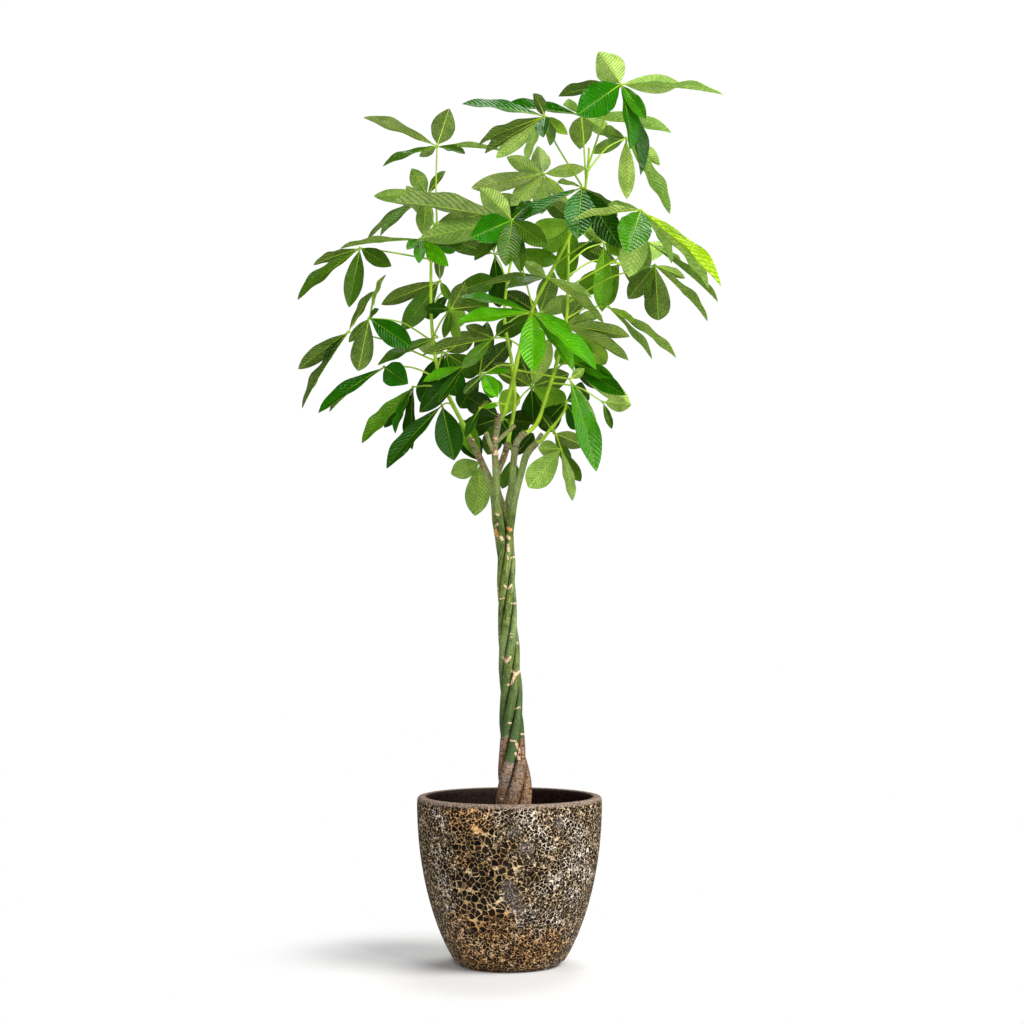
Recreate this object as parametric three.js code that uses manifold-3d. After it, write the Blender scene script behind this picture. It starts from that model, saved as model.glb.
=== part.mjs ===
import * as THREE from 'three';
import { mergeVertices } from 'three/addons/utils/BufferGeometryUtils.js';
import Module from 'manifold-3d';

// A money tree with a braided trunk in a round planter. Millimetres, +Z up.
// The planter's flat foot rests on Z = 0 with its centre at the origin, and the tree's front faces -Y.

// The view that the plant is laid out in: where the eye is, where it looks, and the x and z that the
// middle of the picture stands for.
const EYE = new THREE.Vector3(0, -4200, 750);
const LOOK_AT = new THREE.Vector3(5, 0, 897.6);
const PICTURE_MIDDLE = [5, 904];

// Planter
const POT_HEIGHT = 333;
const POT_RADIUS = 184;
const POT_FOOT_RADIUS = 100;
const POT_WALL = 23;
const POT_FLOOR = 26;
const POT_SIDES = 32;
const SWELL_TOP = 323;
const SWELL_POWER = 0.75;
const FOOT_EDGE = 6;
const HEEL_HEIGHT = 70;
const HEEL_INSET = 14;

// Soil
const SOIL_TOP = 293;
const SOIL_SIDES = 24;
const SOIL_CLEARANCE = 3;
const SOIL_DOME = 90;
const HOLE_SIDES = 8;
const HOLE_CLEARANCE = 3.5;
const HOLE_DEPTH = 120;
const GAP = 0.3;

// Braid of five stems
const STEM_COUNT = 5;
const STEM_SIDES = 7;
const STEM_STEPS = 26;
const STEM_FOOT = 232;
const STEM_BEND = 306;
const BRAID_TOP = 858;
const BRAID_LEAD = 445;
const BRAID_STEP = 24;
const PHASE_HEIGHT = 632;
const STUB_RADII = [4.2, 3.6];
const STUB_SIDES = 6;
const CAP_LENGTH = 8;

// Leaves
const BLADE_THICKNESS = 1.0;
const BLADE_RATIO = 0.27;
const BLADE_ARCH = 0.02;
const BLADE_ROOT = 2;
const LONG_BLADE = 172;
const HUB_RADIUS = 6.5;
const PETIOLE_SIDES = 3;
const PETIOLE_RADII = [2.6, 2.0];
const PETIOLE_ARCH = 0.1;
const SHOOT_SIDES = 6;
const SHOOT_STEPS = 10;

const wasm = await Module();
wasm.setup();

// Solids

function solidOf(vertices, triangles) {
  const mesh = new wasm.Mesh({
    numProp: 3,
    vertProperties: new Float32Array(vertices),
    triVerts: new Uint32Array(triangles),
  });
  return new wasm.Manifold(mesh);
}

function solidFromGeometry(geometry) {
  const bare = geometry.clone();
  bare.deleteAttribute('normal');
  bare.deleteAttribute('uv');
  const merged = mergeVertices(bare, 1e-3);
  const index = merged.getIndex().array;
  const triangles = [];
  for (let i = 0; i < index.length; i += 3) {
    const [a, b, c] = [index[i], index[i + 1], index[i + 2]];
    if (a !== b && b !== c && c !== a) triangles.push(a, b, c);
  }
  return solidOf(merged.getAttribute('position').array, triangles);
}

function meshOf(name, solid, color, roughness, metalness = 0) {
  const { vertProperties, triVerts } = solid.getMesh();
  const geometry = new THREE.BufferGeometry();
  geometry.setAttribute('position', new THREE.BufferAttribute(vertProperties, 3));
  geometry.setIndex(new THREE.BufferAttribute(triVerts, 1));
  geometry.computeVertexNormals();
  const mesh = new THREE.Mesh(geometry, new THREE.MeshStandardMaterial({ color, roughness, metalness }));
  mesh.name = name;
  return mesh;
}

// A closed skin over rings of equal length, each ring clockwise as seen along the body's direction.
// caps lists the triangles of one ring's face, apex closes the far end in a point, and the quads named
// in mirrored are split along their other diagonal.
function skin(rings, caps, apex = null, mirrored = []) {
  const size = rings[0].length;
  const vertices = rings.flat().flatMap((point) => point.toArray());
  const triangles = [];
  for (const [a, b, c] of caps) triangles.push(a, c, b);
  for (let ring = 0; ring < rings.length - 1; ring += 1) {
    for (let i = 0; i < size; i += 1) {
      const a = ring * size + i;
      const b = ring * size + ((i + 1) % size);
      const c = b + size;
      const d = a + size;
      if (mirrored.includes(i)) triangles.push(a, b, d, b, c, d);
      else triangles.push(a, b, c, a, c, d);
    }
  }
  const last = (rings.length - 1) * size;
  if (apex) {
    vertices.push(...apex.toArray());
    for (let i = 0; i < size; i += 1) triangles.push(last + i, last + ((i + 1) % size), last + size);
  } else {
    for (const [a, b, c] of caps) triangles.push(last + a, last + b, last + c);
  }
  return solidOf(vertices, triangles);
}

function fan(size) {
  return Array.from({ length: size - 2 }, (_, i) => [0, i + 1, i + 2]);
}

// A round limb along a smooth curve, its radius given by radiusAt(share of the length, height).
function limb(points, radiusAt, sides, steps) {
  const curve = new THREE.CatmullRomCurve3(points, false, 'centripetal');
  const frames = curve.computeFrenetFrames(steps);
  const rings = [];
  for (let step = 0; step <= steps; step += 1) {
    const centre = curve.getPointAt(step / steps);
    const radius = radiusAt(step / steps, centre.z);
    const ring = [];
    for (let side = 0; side < sides; side += 1) {
      const angle = (2 * Math.PI * (side + 0.5)) / sides;
      ring.push(centre.clone()
        .addScaledVector(frames.normals[step], radius * Math.cos(angle))
        .addScaledVector(frames.binormals[step], radius * Math.sin(angle)));
    }
    rings.push(ring);
  }
  return skin(rings, fan(sides));
}

function taper(from, to) {
  return (share) => from + (to - from) * share;
}

// The point at a given depth behind the trunk that covers (x, z) of the picture.
const GAZE = LOOK_AT.clone().sub(EYE);
const SIDEWAYS = new THREE.Vector3().crossVectors(GAZE, new THREE.Vector3(0, 0, 1)).normalize();
const UPRIGHT = new THREE.Vector3().crossVectors(SIDEWAYS, GAZE).normalize();

function seen([x, z, depth]) {
  const ray = GAZE.clone();
  ray.addScaledVector(SIDEWAYS, x - PICTURE_MIDDLE[0]);
  ray.addScaledVector(UPRIGHT, z - PICTURE_MIDDLE[1]);
  return EYE.clone().addScaledVector(ray, (depth - EYE.y) / ray.y);
}

// Planter and soil

// The wall swells from the foot to its widest just under the rim.
function outerRadius(height) {
  const share = Math.min(height / SWELL_TOP, 1);
  return POT_FOOT_RADIUS + (POT_RADIUS - POT_FOOT_RADIUS) * Math.sin((Math.PI / 2) * share ** SWELL_POWER);
}

function innerRadius(height) {
  return outerRadius(height) - POT_WALL;
}

// A solid turned about Z from its half profile of [radius, height].
function turned(profile, sides) {
  const points = profile.map(([radius, height]) => new THREE.Vector2(radius, height));
  return solidFromGeometry(new THREE.LatheGeometry(points, sides).rotateX(Math.PI / 2));
}

function potSolid() {
  const profile = [[0, 0], [POT_FOOT_RADIUS - FOOT_EDGE, 0], [POT_FOOT_RADIUS, FOOT_EDGE - 2]];
  for (const height of [18, 52, 105, 170, 250, 318]) profile.push([outerRadius(height), height]);
  profile.push([POT_RADIUS - 3, POT_HEIGHT - 5], [POT_RADIUS - 9, POT_HEIGHT], [POT_RADIUS - 17, POT_HEIGHT],
    [POT_RADIUS - POT_WALL, POT_HEIGHT - 6]);
  for (const height of [250, 150, HEEL_HEIGHT]) profile.push([innerRadius(height), height]);
  profile.push([innerRadius(HEEL_HEIGHT) - HEEL_INSET, POT_FLOOR], [0, POT_FLOOR]);
  return turned(profile, POT_SIDES);
}

function soilSolid(stems) {
  const floor = POT_FLOOR + GAP;
  const profile = [[0, floor], [innerRadius(HEEL_HEIGHT) - HEEL_INSET - 4, floor]];
  for (const height of [HEEL_HEIGHT, 150, 250]) profile.push([innerRadius(height) - SOIL_CLEARANCE, height]);
  profile.push([innerRadius(SOIL_TOP) - 2 * SOIL_CLEARANCE, SOIL_TOP - 3]);
  profile.push([SOIL_DOME, SOIL_TOP], [0, SOIL_TOP]);
  let soil = turned(profile, SOIL_SIDES);
  const radius = valueAt(STEM_RADII, STEM_FOOT) + HOLE_CLEARANCE;
  for (const stem of stems) {
    const root = strandPoint(stem.strand, STEM_FOOT);
    const hole = new THREE.CylinderGeometry(radius, radius, HOLE_DEPTH, HOLE_SIDES);
    hole.rotateX(Math.PI / 2).translate(root.x, root.y, root.z - GAP + HOLE_DEPTH / 2);
    soil = soil.subtract(solidFromGeometry(hole));
  }
  return soil;
}

// Stems: upright in the soil, wound round each other up to BRAID_TOP, then each on its own way to its
// shoot. Points are [x, z, depth] as seen. A stub is a pruned twig.

const STEMS = {
  stem_left: {
    strand: 0,
    free: [[-28, 890, 3], [-31, 930, 8], [-37, 962, 12], [-57, 1006, 16], [-79, 1052, 20]],
    stubs: [],
  },
  stem_centre: {
    strand: 1,
    free: [[-19, 888, -14], [-25, 930, -13], [-26, 960, -10], [-28, 998, -8], [-29, 1038, -6],
      [-24, 1078, -3], [-20, 1100, -2]],
    stubs: [[[-34, 1026, -8], [-47, 1064, -16]], [[-26, 1044, -6], [11, 1078, -14]]],
  },
  stem_low_right: {
    strand: 2,
    free: [[4, 888, -10], [14, 946, -13], [25, 988, -13], [33, 1016, -12], [42, 1030, -11], [54, 1042, -10]],
    stubs: [[[50, 1038, -10], [64, 1060, 4]]],
  },
  stem_back: {
    strand: 3,
    free: [[-1, 880, 5], [-8, 904, 3], [-16, 924, 10], [-22, 940, 18], [-25, 956, 25], [-23, 984, 35],
      [-12, 1012, 45], [-3, 1042, 51]],
    stubs: [],
  },
  stem_right: {
    strand: 4,
    free: [[-11, 880, 17], [-3, 906, 19], [-1, 930, 18], [5, 960, 15], [9, 1012, 15], [15, 1044, 20],
      [31, 1064, 27]],
    stubs: [],
  },
};

// Tables of [height, value].
const BRAID_AXIS = [[300, 11], [368, 9], [458, 5], [548, 3], [632, -1.5], [722, -5], [814, -7], [858, -10]];
const STEM_RADII = [[232, 13], [328, 13], [368, 12], [408, 10.2], [430, 9.3], [458, 8.8], [530, 8.1],
  [650, 7.3], [700, 6.6], [860, 6.2], [1060, 6]];
const STRAND_CIRCLE = [[232, 23.9], [328, 24.2], [368, 22.3], [408, 18.7], [430, 17.2], [458, 16.3],
  [530, 15], [650, 13.7], [700, 12.4], [860, 11.8]];

function valueAt(table, height) {
  if (height <= table[0][0]) return table[0][1];
  for (let i = 1; i < table.length; i += 1) {
    const [low, a] = table[i - 1];
    const [high, b] = table[i];
    if (height <= high) return a + ((b - a) * (height - low)) / (high - low);
  }
  return table[table.length - 1][1];
}

// The braid turns to the right as it climbs. At PHASE_HEIGHT strand 0 is at its right.
function strandPoint(strand, height) {
  const turns = (Math.max(height, STEM_BEND) - PHASE_HEIGHT) / BRAID_LEAD + strand / STEM_COUNT;
  const angle = 2 * Math.PI * turns;
  const radius = valueAt(STRAND_CIRCLE, height);
  const x = valueAt(BRAID_AXIS, height) + radius * Math.cos(angle);
  return seen([x, height, radius * Math.sin(angle)]);
}

function stemRoute({ strand, free }) {
  const points = [strandPoint(strand, STEM_FOOT), strandPoint(strand, (STEM_FOOT + STEM_BEND) / 2)];
  for (let height = STEM_BEND; height < BRAID_TOP; height += BRAID_STEP) {
    points.push(strandPoint(strand, height));
  }
  return [...points, ...free.map(seen)];
}

// extra fattens the stem all round and past its top, for what is seated on its bark.
function stemSolid(stem, extra = 0) {
  const radiusAt = (share, height) => valueAt(STEM_RADII, height) + extra;
  const route = stemRoute(stem);
  const parts = [limb(route, radiusAt, STEM_SIDES, STEM_STEPS)];
  for (const stub of stem.stubs) {
    parts.push(limb(stub.map(seen), taper(STUB_RADII[0] + extra, STUB_RADII[1] + extra), STUB_SIDES, 1));
  }
  if (extra) {
    const [before, top] = route.slice(-2);
    const up = top.clone().sub(before).normalize();
    const ends = [top.clone().addScaledVector(up, -CAP_LENGTH), top.clone().addScaledVector(up, extra)];
    parts.push(limb(ends, radiusAt, STEM_SIDES, 1));
  }
  return wasm.Manifold.union(parts);
}

// Leafy shoots. A point's x and z are as seen, and its last number is how far it lies behind the plane
// of the trunk. A leaf is a petiole from the shoot at height root to
// its hub, by way of via where it bends, and leaflets from there. A tip's third number is its depth from
// the hub, and its fourth the leaflet's width as seen: above 0 shows its upper face, below 0 its lower.

const SHOOTS = {
  shoot_centre: {
    stem: 'stem_centre',
    axis: [[-22, 1082, -2], [-10, 1104, -3], [-3, 1130, -3], [9, 1176, -4], [18, 1218, -6], [35, 1278, -8],
      [57, 1334, -6], [93, 1402, 0], [123, 1462, 6], [141, 1508, 10], [151, 1548, 12], [157, 1598, 14],
      [159, 1632, 16]],
    radii: [5, 2.2],
    leaves: [
      { root: 1588, via: [190, 1690, -30], hub: [223, 1760, -50], tips: [[179, 1822, 95, -66],
        [341, 1760, 20, -42], [428, 1742, 40, -9], [245, 1632, -90, 28], [267, 1580, -40, 28], [137, 1700, -110, 68],
        [99, 1740, 90, -26], [273, 1690, -60, 30]] },
      { root: 1556, hub: [143, 1698, 60], tips: [[-21, 1718, 40, 24], [141, 1632, 90, -52],
        [325, 1666, 30, -26], [111, 1720, 120, -20], [203, 1658, 110, -34]] },
      { root: 1540, via: [87, 1652, -60], hub: [71, 1696, -90], tips: [[-95, 1724, -10, 20],
        [-65, 1642, 20, -18], [-51, 1624, 40, -24], [-27, 1612, 60, -36], [33, 1604, 70, -20], [67, 1656, -110, 30],
        [83, 1640, -70, 22], [115, 1660, -50, 24], [49, 1740, 80, -24]] },
      { root: 1490, hub: [67, 1580, -20], tips: [[57, 1634, 90, -44], [151, 1592, 50, -28],
        [115, 1522, 50, -24], [64, 1500, 60, -40], [3, 1518, 50, -44], [-77, 1552, 20, -40], [-5, 1614, 40, -34]] },
      { root: 1584, hub: [233, 1652, 80], tips: [[235, 1530, 60, -38], [165, 1622, 80, -28],
        [177, 1668, 90, -26], [325, 1502, 20, -29], [300, 1600, 90, -30]] },
      { root: 1530, hub: [145, 1554, -50], tips: [[-3, 1472, -40, 24], [135, 1452, -110, 64],
        [223, 1432, -60, 56], [217, 1498, 60, -16], [97, 1564, 70, -10]] },
      { root: 1396, via: [170, 1452, -60], hub: [263, 1508, -100], tips: [[123, 1490, -80, -16],
        [195, 1518, 60, -16], [235, 1422, -130, 72], [239, 1374, 40, -60], [425, 1358, -20, 24],
        [403, 1356, 30, -28], [327, 1404, 80, -16]] },
      { root: 1362, hub: [75, 1374, -34], tips: [[-53, 1360, 10, -18], [-7, 1354, -60, 18],
        [29, 1404, 60, -28], [193, 1284, -30, -20], [165, 1334, 40, -14]] },
      { root: 1300, via: [24, 1400, -70], hub: [5, 1488, -120], tips: [[-237, 1528, 10, -38],
        [-179, 1452, 40, -52], [-75, 1454, -90, 60], [-7, 1400, -100, 48], [23, 1384, -50, 32],
        [77, 1436, -60, 44], [-58, 1552, 70, -48], [47, 1526, 80, 24], [-71, 1408, -30, 28]] },
      { root: 1290, hub: [45, 1304, -70], tips: [[-101, 1336, -20, 16], [-105, 1284, -50, 28],
        [47, 1188, -90, 54], [175, 1192, -60, 32], [131, 1188, -20, 28], [127, 1266, 40, 20]] },
      { root: 1222, hub: [-33, 1252, -60], tips: [[-87, 1276, 40, -28], [15, 1284, 30, -16],
        [-177, 1220, -20, -20], [-95, 1192, -40, 28]] },
      { root: 1176, via: [70, 1178, -40], hub: [121, 1170, -66], tips: [[175, 986, -40, 48],
        [173, 1058, 30, -34], [149, 1190, 20, -20], [157, 1018, 0, 20]] },
      { root: 1190, hub: [-51, 1180, -70], tips: [[-25, 1136, -70, 34], [1, 1186, -30, 12],
        [-93, 1140, -30, -20]] },
      { root: 1112, hub: [-59, 1112, -50], tips: [[-89, 1054, -20, 18], [-23, 1118, -20, 10],
        [-41, 1128, -40, -10]] },
    ],
  },
  shoot_right: {
    stem: 'stem_right',
    axis: [[26, 1058, 25], [45, 1070, 32], [57, 1086, 36], [79, 1152, 44], [89, 1182, 48], [101, 1228, 50],
      [113, 1282, 52], [117, 1362, 54], [119, 1456, 60], [131, 1528, 70]],
    radii: [4.6, 2.4],
    leaves: [
      { root: 1400, hub: [189, 1442, 90], tips: [[185, 1304, 10, 44], [131, 1424, 70, 20],
        [151, 1466, 60, -24], [225, 1418, -50, 24], [262, 1452, 60, -30]] },
      { root: 1350, via: [205, 1404, 50], hub: [281, 1442, 40], tips: [[419, 1326, 20, -14],
        [323, 1418, -40, 10], [251, 1372, 50, -40], [345, 1400, 60, -14]] },
      { root: 1320, via: [200, 1372, 20], hub: [291, 1398, 0], tips: [[351, 1372, 40, -20],
        [399, 1288, 30, -16], [298, 1284, -50, -58], [237, 1330, 20, -42], [275, 1314, -20, 12]] },
      { root: 1180, hub: [125, 1204, -10], tips: [[207, 1174, -60, 28], [231, 1138, -70, 40],
        [243, 1120, -10, -40], [182, 1150, 40, -30]] },
      { root: 1250, hub: [107, 1278, 100], tips: [[241, 1256, 30, -32], [239, 1210, 50, -28],
        [184, 1298, 70, -26], [150, 1336, 80, -30]] },
      { root: 1290, hub: [199, 1314, 110], tips: [[335, 1214, 20, -18], [287, 1212, 50, -14],
        [251, 1284, -30, 16]] },
      { root: 1160, hub: [187, 1124, 70], tips: [[205, 1070, -10, 16], [243, 1118, 20, -36]] },
      { root: 1440, hub: [130, 1484, 150], tips: [[72, 1532, 60, -44], [42, 1462, 50, 48],
        [66, 1426, 100, 48], [106, 1364, 70, 52], [196, 1452, 60, 44], [190, 1520, 60, -40]] },
      { root: 1380, hub: [220, 1400, 200], tips: [[130, 1440, 80, -40], [230, 1490, 60, -40],
        [320, 1440, 60, -40], [300, 1340, 60, -44], [186, 1312, 90, 40], [136, 1344, 110, 48]] },
      { root: 1220, hub: [138, 1262, 120], tips: [[110, 1336, 70, -36], [182, 1236, 60, 44],
        [194, 1198, 60, 44], [152, 1186, 70, 50], [96, 1200, 70, 44]] },
    ],
  },
  shoot_left: {
    stem: 'stem_left',
    axis: [[-72, 1040, 20], [-93, 1080, 16], [-115, 1122, 10], [-137, 1168, 6], [-147, 1206, 2],
      [-154, 1260, 0], [-157, 1314, 0], [-157, 1386, 4], [-155, 1442, 8], [-145, 1478, 10]],
    radii: [4.6, 2.4],
    leaves: [
      { root: 1470, via: [-147, 1544, 6], hub: [-145, 1636, 0], tips: [[-291, 1696, 10, -22],
        [-121, 1710, 60, -54], [-255, 1600, -20, 14], [-179, 1616, 60, -20], [-89, 1622, -60, 14],
        [-15, 1628, 20, -8]] },
      { root: 1460, hub: [-165, 1538, 40], tips: [[-195, 1590, 60, -36], [-129, 1586, 50, -18],
        [-271, 1536, 20, -30], [-95, 1526, -50, 24], [-261, 1460, -20, 20], [-291, 1448, 20, 8],
        [-173, 1458, 50, -40]] },
      { root: 1402, via: [-253, 1426, -10], hub: [-299, 1432, -30], tips: [[-393, 1400, 10, -18],
        [-427, 1332, -20, 24], [-321, 1314, -60, 40], [-237, 1396, -60, 36]] },
      { root: 1440, hub: [-179, 1450, -40], tips: [[-339, 1434, 50, -10], [-205, 1430, -70, 20],
        [-181, 1404, -60, 24], [-123, 1396, -50, 30], [-81, 1428, -20, 20]] },
      { root: 1350, hub: [-139, 1366, 30], tips: [[-257, 1320, 20, -34], [-215, 1268, -40, 44],
        [-143, 1424, 60, -24], [-119, 1328, -40, 18]] },
      { root: 1240, hub: [-117, 1310, -20], tips: [[-89, 1362, 40, -34], [-171, 1312, -20, 24],
        [-131, 1252, -20, 20], [-59, 1316, 20, -16], [-103, 1242, 10, 22]] },
      { root: 1236, via: [-219, 1284, -40], hub: [-281, 1292, -60], tips: [[-251, 1380, 30, -8],
        [-263, 1310, -50, 10], [-303, 1184, -20, -48], [-195, 1234, -30, 48], [-321, 1244, 40, -20]] },
      { root: 1200, via: [-249, 1248, 20], hub: [-323, 1264, 30], tips: [[-273, 1346, 40, -16],
        [-423, 1190, 20, -34], [-373, 1202, -40, 12], [-417, 1112, 0, -14]] },
      { root: 1160, hub: [-251, 1194, -40], tips: [[-385, 1106, -20, 26], [-363, 1108, 40, -14],
        [-205, 1162, -90, 56]] },
      { root: 1240, hub: [-145, 1254, -50], tips: [[-265, 1200, -10, 20], [-221, 1220, 40, -16]] },
      { root: 1140, hub: [-193, 1154, 20], tips: [[-298, 1044, -20, 30],
        [-231, 1063, -60, 16], [-197, 1028, 20, 26], [-251, 1072, 10, 30]] },
      { root: 1110, hub: [-135, 1118, -30], tips: [[-111, 1008, -30, 60], [-249, 994, -30, 35]] },
      { root: 1150, hub: [-91, 1196, -60], tips: [[-173, 1166, -20, 20], [-143, 1124, -40, 20],
        [-181, 1102, 20, 40]] },
      { root: 1070, hub: [-57, 1004, 60], tips: [[-117, 980, 20, -44], [-69, 896, 20, -52],
        [-85, 1054, 50, 48], [-98, 1090, 60, 44]] },
      { root: 1420, hub: [-150, 1480, 150], tips: [[-206, 1556, 60, -36], [-50, 1500, 70, -44],
        [-110, 1420, 90, 40], [-156, 1400, 80, 30]] },
      { root: 1300, hub: [-120, 1340, 150], tips: [[-30, 1370, 60, 48],
        [-40, 1310, 70, 50], [-100, 1270, 80, 44], [-170, 1290, 70, 34]] },
      { root: 1180, hub: [-128, 1222, 130], tips: [[-190, 1246, 60, -34], [-70, 1262, 70, -44],
        [-60, 1180, 60, 50], [-104, 1134, 70, 54], [-180, 1122, 70, 48], [-172, 1158, 40, 34]] },
    ],
  },
  shoot_low_right: {
    stem: 'stem_low_right',
    axis: [[50, 1040, -10], [63, 1046, -10], [79, 1066, -14], [99, 1090, -16], [113, 1112, -18]],
    radii: [4, 2.4],
    leaves: [
      { root: 1062, hub: [103, 1030, -60], tips: [[37, 952, -30, -56], [57, 1032, 10, -36],
        [127, 926, 10, -22], [143, 964, 30, 26]] },
      { root: 1076, hub: [89, 1062, 10], tips: [[149, 1036, 30, -38], [120, 1000, 60, 24],
        [60, 1104, 40, -24]] },
      { root: 1108, hub: [112, 1124, 20], tips: [[60, 1070, 60, 54], [158, 1150, 110, 44],
        [146, 1070, 60, 44]] },
    ],
  },
  shoot_back: {
    stem: 'stem_back',
    axis: [[-6, 1032, 49], [0, 1060, 54], [10, 1120, 72], [5, 1200, 100], [-10, 1290, 120], [0, 1390, 135],
      [20, 1460, 145]],
    radii: [4.6, 2.4],
    leaves: [
      { root: 1070, hub: [-18, 1092, 90], tips: [[-86, 1136, 40, 50], [-96, 1066, 30, 46], [-44, 1018, 20, 44],
        [16, 1026, 20, 44], [44, 1082, 40, 50], [10, 1150, 40, 46]] },
      { root: 1046, hub: [6, 1012, 90], tips: [[-15, 950, 20, 26], [14, 962, 30, 24], [48, 1062, 30, 34]] },
      { root: 1110, hub: [44, 1154, 80], tips: [[118, 1180, 60, -50], [80, 1250, 50, -44], [18, 1226, 50, -40],
        [-30, 1200, 50, -44], [48, 1076, 60, 54], [112, 1110, 60, 58]] },
      { root: 1170, hub: [-60, 1180, 130], tips: [[-44, 1284, 50, -46],
        [4, 1246, 60, -44], [-20, 1138, 60, 44], [-100, 1110, 60, 44]] },
      { root: 1280, hub: [60, 1300, 190], tips: [[-10, 1344, 60, -44], [88, 1384, 50, -46],
        [128, 1332, 24, -40], [130, 1226, 70, 48], [50, 1210, 90, 44], [-30, 1260, 80, 48]] },
      { root: 1370, hub: [-30, 1420, 190], tips: [[-130, 1450, 60, -40], [-50, 1510, 60, -40],
        [50, 1480, 60, -40], [100, 1408, 60, 44], [-20, 1310, 90, 44]] },
      { root: 1456, hub: [40, 1520, 150], tips: [[-40, 1530, 60, -36], [30, 1596, 60, -36],
        [-40, 1470, 80, 48]] },
    ],
  },
};

// The way a leaflet's upper face looks: turned about its midrib until its width is as seen, and upwards.
function upperFace(along, middle, share, facing) {
  const toEye = EYE.clone().sub(middle).normalize();
  const broad = toEye.addScaledVector(along, -toEye.dot(along)).normalize().multiplyScalar(facing);
  const across = new THREE.Vector3().crossVectors(along, broad);
  if (across.z < 0) across.negate();
  return broad.multiplyScalar(share).addScaledVector(across, Math.sqrt(1 - share * share));
}

const SHORT_STATIONS = [[0, 0.06], [0.36, 0.74], [0.68, 0.9]];
const LONG_STATIONS = [[0, 0.05], [0.28, 0.6], [0.56, 1], [0.8, 0.74]];

function leaflet(hub, tip, seenWidth) {
  const along = tip.clone().sub(hub);
  const length = along.length();
  along.normalize();
  const middle = hub.clone().lerp(tip, 0.5);
  const width = Math.max(Math.abs(seenWidth), BLADE_RATIO * length);
  const normal = upperFace(along, middle, Math.abs(seenWidth) / width, Math.sign(seenWidth));
  const side = new THREE.Vector3().crossVectors(along, normal);
  const start = hub.clone().addScaledVector(along, BLADE_ROOT);
  const top = middle.addScaledVector(normal, 2 * BLADE_ARCH * length);
  const midrib = new THREE.QuadraticBezierCurve3(start, top, tip);
  const stations = length > LONG_BLADE ? LONG_STATIONS : SHORT_STATIONS;
  const upper = normal.clone().multiplyScalar(BLADE_THICKNESS / 2);
  const lower = upper.clone().negate();
  const rings = stations.map(([share, breadth]) => {
    const centre = midrib.getPoint(share);
    const reach = (breadth * width) / 2;
    const corners = [[-reach, upper], [reach, upper], [reach, lower], [-reach, lower]];
    return corners.map(([out, face]) => centre.clone().addScaledVector(side, out).add(face));
  });
  return skin(rings, fan(4), tip, [2]);
}

// What is left of a shoot where its stem is cut out of it, without crumbs.
function largest(solid) {
  return solid.decompose().reduce((best, piece) => (piece.volume() > best.volume() ? piece : best));
}

function heightShare(curve, height) {
  let [low, high] = [0, 1];
  for (let i = 0; i < 30; i += 1) {
    const middle = (low + high) / 2;
    if (curve.getPoint(middle).z < height) low = middle;
    else high = middle;
  }
  return low;
}

function leafParts(axis, { root, via, hub, tips }) {
  const from = axis.getPoint(heightShare(axis, root));
  const to = seen(hub);
  const rise = new THREE.Vector3(0, 0, PETIOLE_ARCH * from.distanceTo(to));
  const bend = via ? seen(via) : from.clone().lerp(to, 0.5).add(rise);
  const parts = [limb([from, bend, to], taper(...PETIOLE_RADII), PETIOLE_SIDES, 2)];
  parts.push(solidFromGeometry(new THREE.OctahedronGeometry(HUB_RADIUS).translate(to.x, to.y, to.z)));
  for (const [x, z, depth, width] of tips) parts.push(leaflet(to, seen([x, z, hub[2] + depth]), width));
  return parts;
}

function shootSolid({ axis, radii, leaves }) {
  const points = axis.map(seen);
  const curve = new THREE.CatmullRomCurve3(points, false, 'centripetal');
  const parts = [limb(points, taper(...radii), SHOOT_SIDES, SHOOT_STEPS)];
  for (const leaf of leaves) parts.push(...leafParts(curve, leaf));
  return wasm.Manifold.union(parts);
}

// The tree

const tree = new THREE.Group();
const POT_COLOUR = 0x3a302b;
const SOIL_COLOUR = 0x2c2018;
const BARK_COLOUR = 0x7c7a55;
const LEAF_COLOUR = 0x3f7a1c;

tree.add(meshOf('pot', potSolid(), POT_COLOUR, 0.45));
tree.add(meshOf('soil', soilSolid(Object.values(STEMS)), SOIL_COLOUR, 0.95));
for (const [name, stem] of Object.entries(STEMS)) tree.add(meshOf(name, stemSolid(stem), BARK_COLOUR, 0.8));
for (const [name, shoot] of Object.entries(SHOOTS)) {
  const bark = stemSolid(STEMS[shoot.stem], GAP);
  tree.add(meshOf(name, largest(shootSolid(shoot).subtract(bark)), LEAF_COLOUR, 0.4));
}

export default tree;
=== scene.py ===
import bpy
import math
import random
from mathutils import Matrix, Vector, noise


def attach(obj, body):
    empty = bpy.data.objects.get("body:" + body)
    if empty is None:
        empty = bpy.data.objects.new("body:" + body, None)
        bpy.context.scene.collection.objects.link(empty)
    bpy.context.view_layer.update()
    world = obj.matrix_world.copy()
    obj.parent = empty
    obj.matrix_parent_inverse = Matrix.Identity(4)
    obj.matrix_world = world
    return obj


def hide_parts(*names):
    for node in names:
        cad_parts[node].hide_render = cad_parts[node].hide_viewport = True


# Money tree with a braided trunk in a crater-glazed planter.
# Tables are in millimetres, Blender works in metres.
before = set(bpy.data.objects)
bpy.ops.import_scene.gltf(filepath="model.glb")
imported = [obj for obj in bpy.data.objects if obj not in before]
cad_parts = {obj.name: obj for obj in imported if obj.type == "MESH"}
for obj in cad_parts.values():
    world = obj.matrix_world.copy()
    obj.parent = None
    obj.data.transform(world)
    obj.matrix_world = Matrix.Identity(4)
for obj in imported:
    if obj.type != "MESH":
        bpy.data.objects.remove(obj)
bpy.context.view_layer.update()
mm = 0.001
print("frame loaded:", len(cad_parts), "nodes")

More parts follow.
